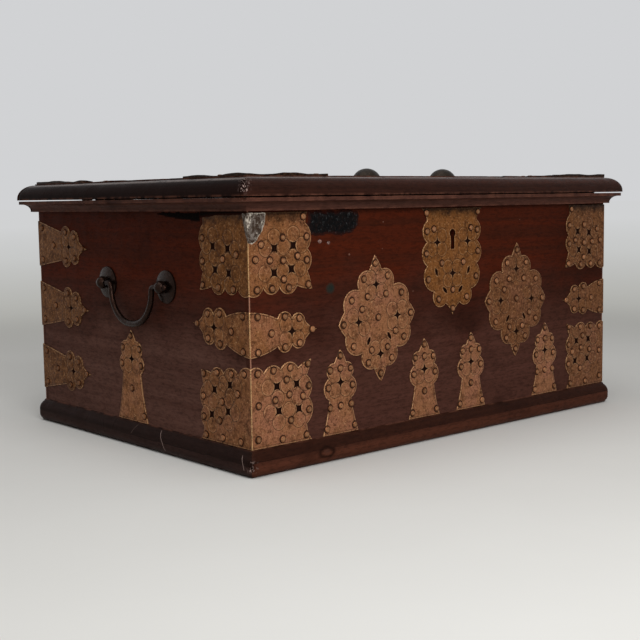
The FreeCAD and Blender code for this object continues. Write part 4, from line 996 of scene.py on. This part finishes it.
def sweptMoulding(node, wall, material, slot, body, look, seed, chipAt=0):
    loop = resample(sectionOf(node, wall), look["profileStep"], look["cornerTurn"])
    count = len(loop)
    away = -inwardOf(loop)
    arris = np.clip((turnOf(loop) - look["arrisTurn"]) / look["arrisSpan"], 0, 1)
    arris = np.maximum(arris, look["arrisSpread"] * (np.roll(arris, 1) + np.roll(arris, -1)))
    free = np.clip((loop[:, 0] - loop[:, 0].min()) / look["seatWidth"], 0, 1)
    free = free * np.clip((loop[:, 1] - look["footGap"]) / look["footWidth"], 0, 1)
    ends = loop[:, 0] + wallFaces[beside[wall]] - wallFaces[wall]
    stations = max(2, round(2 * ends.max() / look["step"]))
    points, arrises, bares = [], [], []
    for station in range(stations + 1):
        share = 2 * station / stations - 1
        for index in range(count):
            level, height = loop[index]
            along = share * ends[index]
            toEnd = ends[index] - abs(along)
            calm = min(1.0, toEnd / look["calmWidth"]) * free[index]
            slow = noise.noise(Vector((along / look["slowLength"], seed, 0)))
            swell = noise.noise(Vector((along / look["swellLength"], seed + 5, 0)))
            shift = look["wander"] * calm * (slow * away[index] + np.array([0, swell]) * look["swellShare"])
            grain = Vector((along / look["nickSize"], height / look["nickSize"], seed + 11))
            nick = max(0.0, noise.noise(grain) - look["nickFrom"]) * arris[index]
            shift = shift - away[index] * nick * look["dent"] * calm
            bare = 0.0
            worn = look["mitreRound"]
            near = max(0.0, 1 - toEnd / look["mitreReach"]) * free[index]
            if chipAt and along * chipAt > 0:
                low, high = look["chipBand"][node.split("_")[0]]
                banded = max(0.0, min(1.0, min(height - low, high - height) / look["bandFade"]))
                crumb = noise.noise(Vector((0, height / look["crumbSize"], 7)))
                bare = near * banded * max(0.0, look["bareFrom"] + crumb)
                worn += look["mitreChip"] * banded * max(look["chipLeast"], look["chipFrom"] + crumb)
            rounding = worn * near * near * near
            place = loop[index] + shift - np.array([rounding, 0])
            points.append((along - math.copysign(rounding, along), place[1], place[0]))
            arrises.append(arris[index])
            bares.append(min(1.0, bare))
    faces = []
    for station in range(stations):
        for index in range(count):
            a = station * count + index
            b = station * count + (index + 1) % count
            faces.append((a, a + count, b + count, b))
    faces.append(list(range(count)))
    faces.append([stations * count + index for index in reversed(range(count))])
    points = np.array(points)
    piece = makePiece(node + "_worn", onWall(wall, points[:, :2], points[:, 2]), faces, material, body, slot,
                      {"arris": arrises, "bare": bares}, smooth=30)
    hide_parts(node)


seed = 40
for kind, wood, slot, body, sides in (
        ("base", "base_wood", "carcase_wood", "case", ("front", "right", "back", "left")),
        ("rim", "trim_wood", "carcase_wood", "case", ("front", "right", "left")),
        ("lid", "lid_wood", "lid_wood", "lid", ("front", "right", "left"))):
    for wall in sides:
        material = woods[wood + ("_x" if wall in ("front", "back") else "_y")]
        chipAt = {"front": -1, "left": 1}.get(wall, 0)
        sweptMoulding(f"{kind}_moulding_{wall}", wall, material, slot, body, mouldingLook, seed, chipAt)
        seed += 1
print("mouldings swept")


# Drop handles: a bail forged thicker in the middle, with a knob beyond each eye

bailLook = {
    "span": 43.0, "standoff": 5.8, "place": -7.2, "height": 131.0, "halfWidth": 30.0, "drop": 31.0,
    "elbow": 3.0, "bend": 27.5, "overrun": 7.7, "thin": 2.05, "thick": 2.75, "knob": 2.4, "knobAt": 1.6,
    "swell": 1.15, "swellPower": 1.5, "tip": 0.3, "tipShare": 0.35, "beaten": 0.05, "beatLength": 9,
    "elbowSteps": 8, "bendSteps": 12, "easing": 3, "sides": 16, "step": 1.1,
}


def bailRoute(look):
    end, leg, low = look["span"] + look["overrun"], look["halfWidth"], -look["drop"]
    elbow, bend = look["elbow"], look["bend"]
    route = [(end, 0.0), (leg + elbow, 0.0)]
    for step in range(1, look["elbowSteps"] + 1):  # elbow where the bar turns down
        angle = math.pi / 2 * step / look["elbowSteps"]
        route.append((leg + elbow - elbow * math.sin(angle), -elbow + elbow * math.cos(angle)))
    for step in range(look["bendSteps"] + 1):  # long bend of the grip
        angle = math.pi / 2 * step / look["bendSteps"]
        route.append((leg - bend + bend * math.cos(angle), low + bend - bend * math.sin(angle)))
    route = np.array(route)
    return np.concatenate([route, (route * [-1, 1])[::-1]])


def forgedBail(side, look):
    line, at = evenly(bailRoute(look), look["step"])
    for _ in range(look["easing"]):  # ease the joins between arcs and runs
        line[1:-1] = (line[:-2] + line[1:-1] * 2 + line[2:]) / 4
    ahead = np.gradient(line, axis=0)
    ahead /= np.linalg.norm(ahead, axis=1)[:, None]
    sides = look["sides"]
    way = -1 if side == "left" else 1
    points = []
    share = 1 - np.abs(at / at[-1] * 2 - 1)
    for index, spot in enumerate(line):
        fromEnd = min(at[index], at[-1] - at[index])
        swell = min(1.0, share[index] * look["swell"]) ** look["swellPower"]
        radius = look["thin"] + (look["thick"] - look["thin"]) * swell
        knob = max(0.0, 1 - abs(fromEnd / look["knobAt"] - 1))
        radius += (look["knob"] - radius) * math.sqrt(knob)
        radius *= look["tipShare"] if fromEnd < look["tip"] else 1
        radius *= 1 + look["beaten"] * noise.noise(Vector((at[index] / look["beatLength"], way, 3)))
        across = np.array([-ahead[index][1], ahead[index][0]])
        for turn in range(sides):
            angle = math.tau * turn / sides
            sideways = across * math.cos(angle) * radius
            out = math.sin(angle) * radius
            points.append((way * (wallFaces[side] + look["standoff"] + out),
                           look["place"] + spot[0] + sideways[0], look["height"] + spot[1] + sideways[1]))
    faces = [face[::way] for face in tubeFaces(len(line), sides)]
    piece = makePiece(f"{side}_bail_forged", points, faces, metals["iron"], f"{side}_bail", "handle_iron",
                      smooth=60)
    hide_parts(f"{side}_bail")


for side in ("left", "right"):
    forgedBail(side, bailLook)
print("bails forged")


# Dust bead under the lid, broken away towards the back of the left end

beadLook = {
    "low": 198.12, "high": 199.02, "inner": 5.0, "outer": 11.0, "shoulder": 1, "round": 0.3,
    "step": 3.0, "sag": 0.2, "sagLength": 5.0,
    "runs": {"front": ((-203, 203),), "right": ((-146, 146),),
             "left": ((-30, 146), (-45, -41.5), (-62, -58), (-84, -76))},
}


def dustBead(look):
    points, faces = [], []
    inner, outer, low, high = (look[key] for key in ("inner", "outer", "low", "high"))
    bevel, shoulder = low + look["round"], look["shoulder"]
    for wall, runs in look["runs"].items():
        edge = wallFaces[wall]
        for first, last in runs:
            stations = max(3, round((last - first) / look["step"]))
            start = len(points)
            for along in np.linspace(first, last, stations + 1):
                lift = look["sag"] * noise.noise(Vector((along / look["sagLength"], edge, 1)))
                section = ((outer, high), (outer, bevel), (outer - shoulder, low + max(0, lift)),
                           (inner + shoulder, low), (inner, bevel), (inner, high))
                for inset, height in section:
                    points.append(onWall(wall, np.array([[along, height]]), [edge - inset])[0])
            faces += tubeFaces(stations + 1, len(section), start)
    makePiece("lid_dust_bead", points, faces, woods["lid_wood_x"], "lid", "lid_wood")


dustBead(beadLook)


# Repairs and damage: lumpy patches laid on a wall inside a ragged outline, and near-black sheets of painted
# shadow in the open joint of the left end

def patchSheet(name, look):
    grid, seed, ragged = look["grid"], look["seed"], look["ragged"]
    base = wallFaces[look["wall"]] + look["over"]
    loop = resample(np.array(look["outline"], float), grid * 0.7, look["cornerTurn"])
    if loopArea(loop) < 0:
        loop = loop[::-1]
    stray = waves(loop, ragged * 3 + 0.5, seed)
    loop = loop + inwardOf(loop) * (stray[:, None] * ragged)
    cells = insideOf(staggered(loop.min(axis=0), loop.max(axis=0), grid, 1), loop, inwardOf(loop), grid * 0.5)
    spots, faces, within = triangulate(np.concatenate([loop, cells]), [list(range(len(loop)))])
    faces = [face for face, inside in zip(faces.tolist(), within) if inside]
    gap = nearest(spots, loop)[0]
    lift = np.clip(gap / look["edge"], 0, 1)
    lift = lift * lift * (3 - 2 * lift)
    bumps = np.array([noise.fractal(Vector((*(p / look["lumpSize"]), seed)), 0.9, 2.0, 4) for p in spots])
    foot = base - look["sunk"]
    level = foot + (look["sunk"] + look["rise"]) * lift + look["lump"] * bumps * lift
    points = onWall(look["wall"], spots, np.maximum(level, foot))
    makePiece(name, points, faces, repairs[look["finish"]], "case", look["slot"], {"rimGap": gap}, smooth=50)


def pitchFinish(name, look):
    shade = newShade(name)
    crust = shade.cloud(0.35, 5, 0.7)
    scrape = shade.cloud(0.9, 4, 0.65, 0.4, (1, 1, 0.5))
    thin = shade.span(shade.field("rimGap") + (crust - 0.5) * 8, 3.2, 0.4)
    colour = shade.layers(look["black"], (shade.span(crust, 0.42, 0.7), look["brown"]),
                          (shade.span(scrape, 0.58, 0.7) * 0.65, look["speck"]), (thin * 0.8, look["wood"]))
    rough = shade.span(crust, 0.3, 0.7, 0.3, 0.55)
    return shade.paint(colour=colour, rough=rough, gloss=0.03, normal=shade.bump(crust * 0.9 + scrape * 0.4))


def tinFinish(name, look):
    shade = newShade(name)
    span = shade.span
    smudge = shade.cloud(0.22, 5, 0.7, 1.0)
    crease = shade.pulse(shade.cloud(0.2, 2, 0.5, 0.6, (1, 1, 0.35)), 0.5, 0.028)
    free = span(shade.absolute(shade.axes()[0]), look["foldAt"], look["foldAt"] - 1.4)
    worn = span(shade.field("rimGap"), 1.1, 0.5) * span(smudge, 0.7, 0.5) * free
    colour = shade.layers(look["grey"], (span(smudge, 0.36, 0.6), look["brown"]),
                          (crease * span(smudge, 0.6, 0.4) * 0.7, look["bright"]), (worn, look["bright"]))
    return shade.paint(colour=colour, rough=span(smudge, 0.3, 0.7, 0.3, 0.55), metal=0.4, gloss=0.1,
                       normal=shade.bump(smudge * 0.9 + crease * 0.3))


def fillFinish(name, look):
    shade = newShade(name)
    speck = shade.cloud(0.6, 4, 0.65)
    blend = look["blend"]
    border = shade.span(shade.field("rimGap") + (speck - 0.5) * blend, blend, 0.0)
    colour = shade.layers(look["first"], (shade.span(speck, 0.35, 0.68), look["second"]),
                          (border * 0.85, look["rim"]))
    return shade.paint(colour=colour, rough=look["rough"] + speck * 0.15, gloss=look["gloss"],
                       normal=shade.bump(speck * 0.4))


repairLook = {
    "pitch": {"black": tone(8, 8, 9), "brown": tone(26, 17, 15), "speck": tone(86, 89, 90),
              "wood": tone(48, 18, 11)},
    "tin": {"grey": tone(120, 110, 102), "brown": tone(58, 44, 34), "bright": tone(206, 196, 180),
            "foldAt": 209.8},
    "plug": {"first": tone(28, 36, 34), "second": tone(42, 38, 31), "rim": tone(58, 26, 16), "blend": 3.4,
             "rough": 0.7, "gloss": 0.02},
    # painted shadow in the open joint and across the top of the end plate below it
    "gap": {"first": tone(9, 8, 8), "second": tone(22, 16, 14), "rim": tone(40, 17, 11), "blend": 2.2,
            "rough": 0.8, "gloss": 0.01},
    "chip": {"first": tone(126, 92, 78), "second": tone(74, 42, 32), "rim": tone(44, 18, 12), "blend": 0.7,
             "rough": 0.7, "gloss": 0.02},
    # painted highlight: the drips' pale first colour stands for light caught on the dark glossy resin
    "drip": {"first": tone(150, 112, 100), "second": tone(52, 26, 20), "rim": tone(30, 14, 10), "blend": 1.0,
             "rough": 0.1, "gloss": 0.4},
}
repairs = {"pitch": pitchFinish("black_pitch", repairLook["pitch"]),
           "tin": tinFinish("crumpled_tin", repairLook["tin"])}
fillNames = {"plug": "hole_filler", "gap": "open_joint_shadow", "chip": "raw_chip", "drip": "resin_drip"}
repairs.update({key: fillFinish(name, repairLook[key]) for key, name in fillNames.items()})


def ellipse(across, up, wide, tall, sides=14):
    turns = np.arange(sides) * math.tau / sides
    return [(across + wide * math.cos(turn), up + tall * math.sin(turn)) for turn in turns]


onWood = {"wall": "front", "slot": "carcase_wood", "over": 0, "sunk": 0.12, "edge": 1.2, "lumpSize": 5,
          "cornerTurn": 40}
onEnd = dict(onWood, wall="left", finish="gap", ragged=0.5)
onPlate = dict(onWood, slot="brass_plate", over=0.95, finish="tin", rise=0.5, grid=0.9, ragged=0.4)
patchLook = {
    "pitch_patch": dict(onWood, finish="pitch", rise=0.9, lump=0.7, grid=1.2, ragged=1.9, seed=3, edge=2.5,
                        outline=[
        (-156, 172), (-148, 169), (-136, 170.8), (-122, 168.6), (-110, 171.5), (-104.5, 177), (-105, 188.4),
        (-131, 188.6), (-155, 188.4)]),
    "tin_patch_front": dict(onPlate, lump=0.35, seed=5, outline=[
        (-211, 187.4), (-194.5, 187.4), (-195.2, 181), (-198, 174), (-203.5, 167.5), (-207, 165.5),
        (-211, 166.5)]),
    "tin_patch_end": dict(onPlate, wall="left", lump=0.3, seed=6, outline=[
        (147.5, 187.2), (154, 187.2), (154, 167), (151.3, 172), (149, 181)]),
    # painted shadow: near-black sheets in the open joint and across the top of the end plate
    "open_joint_shadow_gap": dict(onEnd, rise=0.1, lump=0.05, grid=1.6, seed=7, outline=[
        (26, 188.8), (97, 188.8), (97, 180.2), (80, 181.2), (58, 183), (38, 186)]),
    "open_joint_shadow_end": dict(onEnd, over=0.9, rise=0.35, lump=0.1, grid=1.2, seed=17, edge=0.6, outline=[
        (97, 189), (149, 189), (149, 186.4), (120, 185.6), (97, 184)]),
    "open_joint_lip": dict(onEnd, finish="chip", rise=0.16, lump=0.1, grid=0.9, ragged=0.4, seed=8, edge=0.6,
                           outline=[
        (40, 186), (58, 182.9), (80, 181.1), (97, 180.1), (97, 178.8), (80, 179.8), (58, 181.9)]),
    "filled_hole": dict(onWood, finish="plug", rise=0.2, lump=0.25, grid=0.7, ragged=0.5, seed=9, edge=2.0,
                        outline=ellipse(-134, 130.2, 5.6, 5.3)),
}
chip = dict(onWood, finish="chip", rise=0.14, lump=0.12, grid=0.4, ragged=0.3, edge=0.5)
drip = dict(chip, finish="drip", rise=0.7, edge=1.2)
chipSpots = ((chip, -78.5, 178, 0.9), (chip, -79.5, 157.5, 0.8), (drip, -143.5, 165.3, 2.0),
             (drip, -135, 164, 1.7), (chip, -114.5, 154.5, 1.2), (chip, -46, 122.5, 0.8),
             (chip, 87, 176, 0.9))
for index, (kind, across, up, size) in enumerate(chipSpots):
    outline = ellipse(across, up, size * 1.1, size * 0.9)
    patchLook[f"wood_chip_{index + 1}"] = dict(kind, seed=20 + index, outline=outline)
for name, look in patchLook.items():
    patchSheet(name, look)
print("repairs and damage laid on")


# Floor, light and camera

stageLook = {
    "floor": tone(218, 217, 213),
    "glow": ((0.0, tone(152, 151, 146)), (0.3, tone(180, 180, 176)), (0.62, tone(198, 199, 198)),
             (1.0, tone(208, 209, 210))),
    "world": tone(209, 210, 212),
    "glowReach": 600,
    "glowBase": 15.0,
    "dust": 0.08,
    "sides": 96,
    "radius": 40.0,
    "ambient": 0.3,
    "fadeStart": 520.0,
    "fadeEnd": 1150.0,
}


def seenDirectly(shade):  # camera, mirror and glass rays
    seen = shade.add("LightPath", {}, {}, ("Is Camera Ray", "Is Glossy Ray", "Is Transmission Ray"))
    return shade.maths("MAXIMUM", shade.maths("MAXIMUM", seen[0], seen[1]), seen[2])


def makeFloor(look):
    mesh = bpy.data.meshes.new("floor")
    sheet = bmesh.new()
    bmesh.ops.create_circle(sheet, cap_ends=True, segments=look["sides"], radius=look["radius"])
    sheet.to_mesh(mesh)
    sheet.free()
    floor = addObject("floor", mesh)
    shade = newShade("pale_floor")
    x, y, z = shade.axes()
    reach = shade.distance(x, y)
    dust = shade.cloud(0.01, 3)
    dusted = shade.mix(dust * look["dust"], look["floor"], look["glow"][0][1])
    shade.paint(colour=dusted, rough=0.85, gloss=0.1)
    far = shade.maths("LOGARITHM", reach / look["glowReach"], look["glowBase"])
    ramp = shade.add("ValToRGB", {}, {"Fac": far}, "Color")
    stops = ramp.socket.node.color_ramp
    for place, colour in look["glow"][1:-1]:
        stops.elements.new(place).color = colour
    stops.elements[0].color = look["glow"][0][1]
    stops.elements[-1].color = look["glow"][-1][1]
    glow = shade.add("Emission", {}, {"Color": ramp, "Strength": 1.0})
    fade = shade.span(reach, look["fadeStart"], look["fadeEnd"]) * seenDirectly(shade)
    skin = Sock(shade, shade.skin.outputs[0])
    blended = shade.add("MixShader", {}, {0: fade, 1: skin, 2: glow})
    shade.feed(shade.tree.nodes["Material Output"].inputs["Surface"], blended)
    mesh.materials.append(shade.owner)


def makeWorld(look):
    world = bpy.data.worlds.new("studio")
    bpy.context.scene.world = world
    shade = Shade(world)
    shade.tree.nodes.clear()
    ambient = shade.add("Background", {}, {"Color": (1, 1, 1, 1), "Strength": look["ambient"]})
    backdrop = shade.add("Background", {}, {"Color": look["world"], "Strength": 1.0})
    blended = shade.add("MixShader", {}, {0: seenDirectly(shade), 1: ambient, 2: backdrop})
    shade.add("OutputWorld", {}, {"Surface": blended}, ())


makeFloor(stageLook)
makeWorld(stageLook)

lampLook = {
    "window": {"place": (-0.4, -1.0, 0.6), "aim": (-0.1, -0.15, 0.1), "size": 0.7, "power": 7.5},
    "overhead": {"place": (-0.45, -0.1, 1.7), "aim": (-0.2, 0, 0.1), "size": 1.5, "power": 10.0},
}


def makeLamp(name, look):
    data = bpy.data.lights.new(name, "AREA")
    data.energy = look["power"]
    data.size = look["size"]
    lamp = addObject(name, data)
    lamp.location = look["place"]
    lamp.rotation_euler = (Vector(look["aim"]) - Vector(look["place"])).to_track_quat("-Z", "Y").to_euler()


for name, look in lampLook.items():
    makeLamp(name, look)

cameraLook = {"place": (-690.84, -778.16, 195.83), "yaw": 41.15, "pitch": -6.08, "roll": -0.86,
              "focal": 1130.2, "frame": 640, "sensor": 36.0}


def makeCamera(look):
    data = bpy.data.cameras.new("photo_camera")
    data.sensor_width = look["sensor"]
    data.lens = look["focal"] / look["frame"] * look["sensor"]
    camera = addObject("photo_camera", data)
    yaw, pitch, roll = (math.radians(look[key]) for key in ("yaw", "pitch", "roll"))
    ahead = Vector((math.sin(yaw) * math.cos(pitch), math.cos(yaw) * math.cos(pitch), math.sin(pitch)))
    right = Vector((math.cos(yaw), -math.sin(yaw), 0))
    up = right.cross(ahead)
    across = right * math.cos(roll) + up * math.sin(roll)
    upright = up * math.cos(roll) - right * math.sin(roll)
    turn = Matrix((across, upright, -ahead)).transposed()
    camera.matrix_world = Matrix.Translation(Vector(look["place"]) * mm) @ turn.to_4x4()
    bpy.context.scene.camera = camera


makeCamera(cameraLook)
bpy.context.scene.view_settings.view_transform = "Standard"
print("floor, light and camera set")
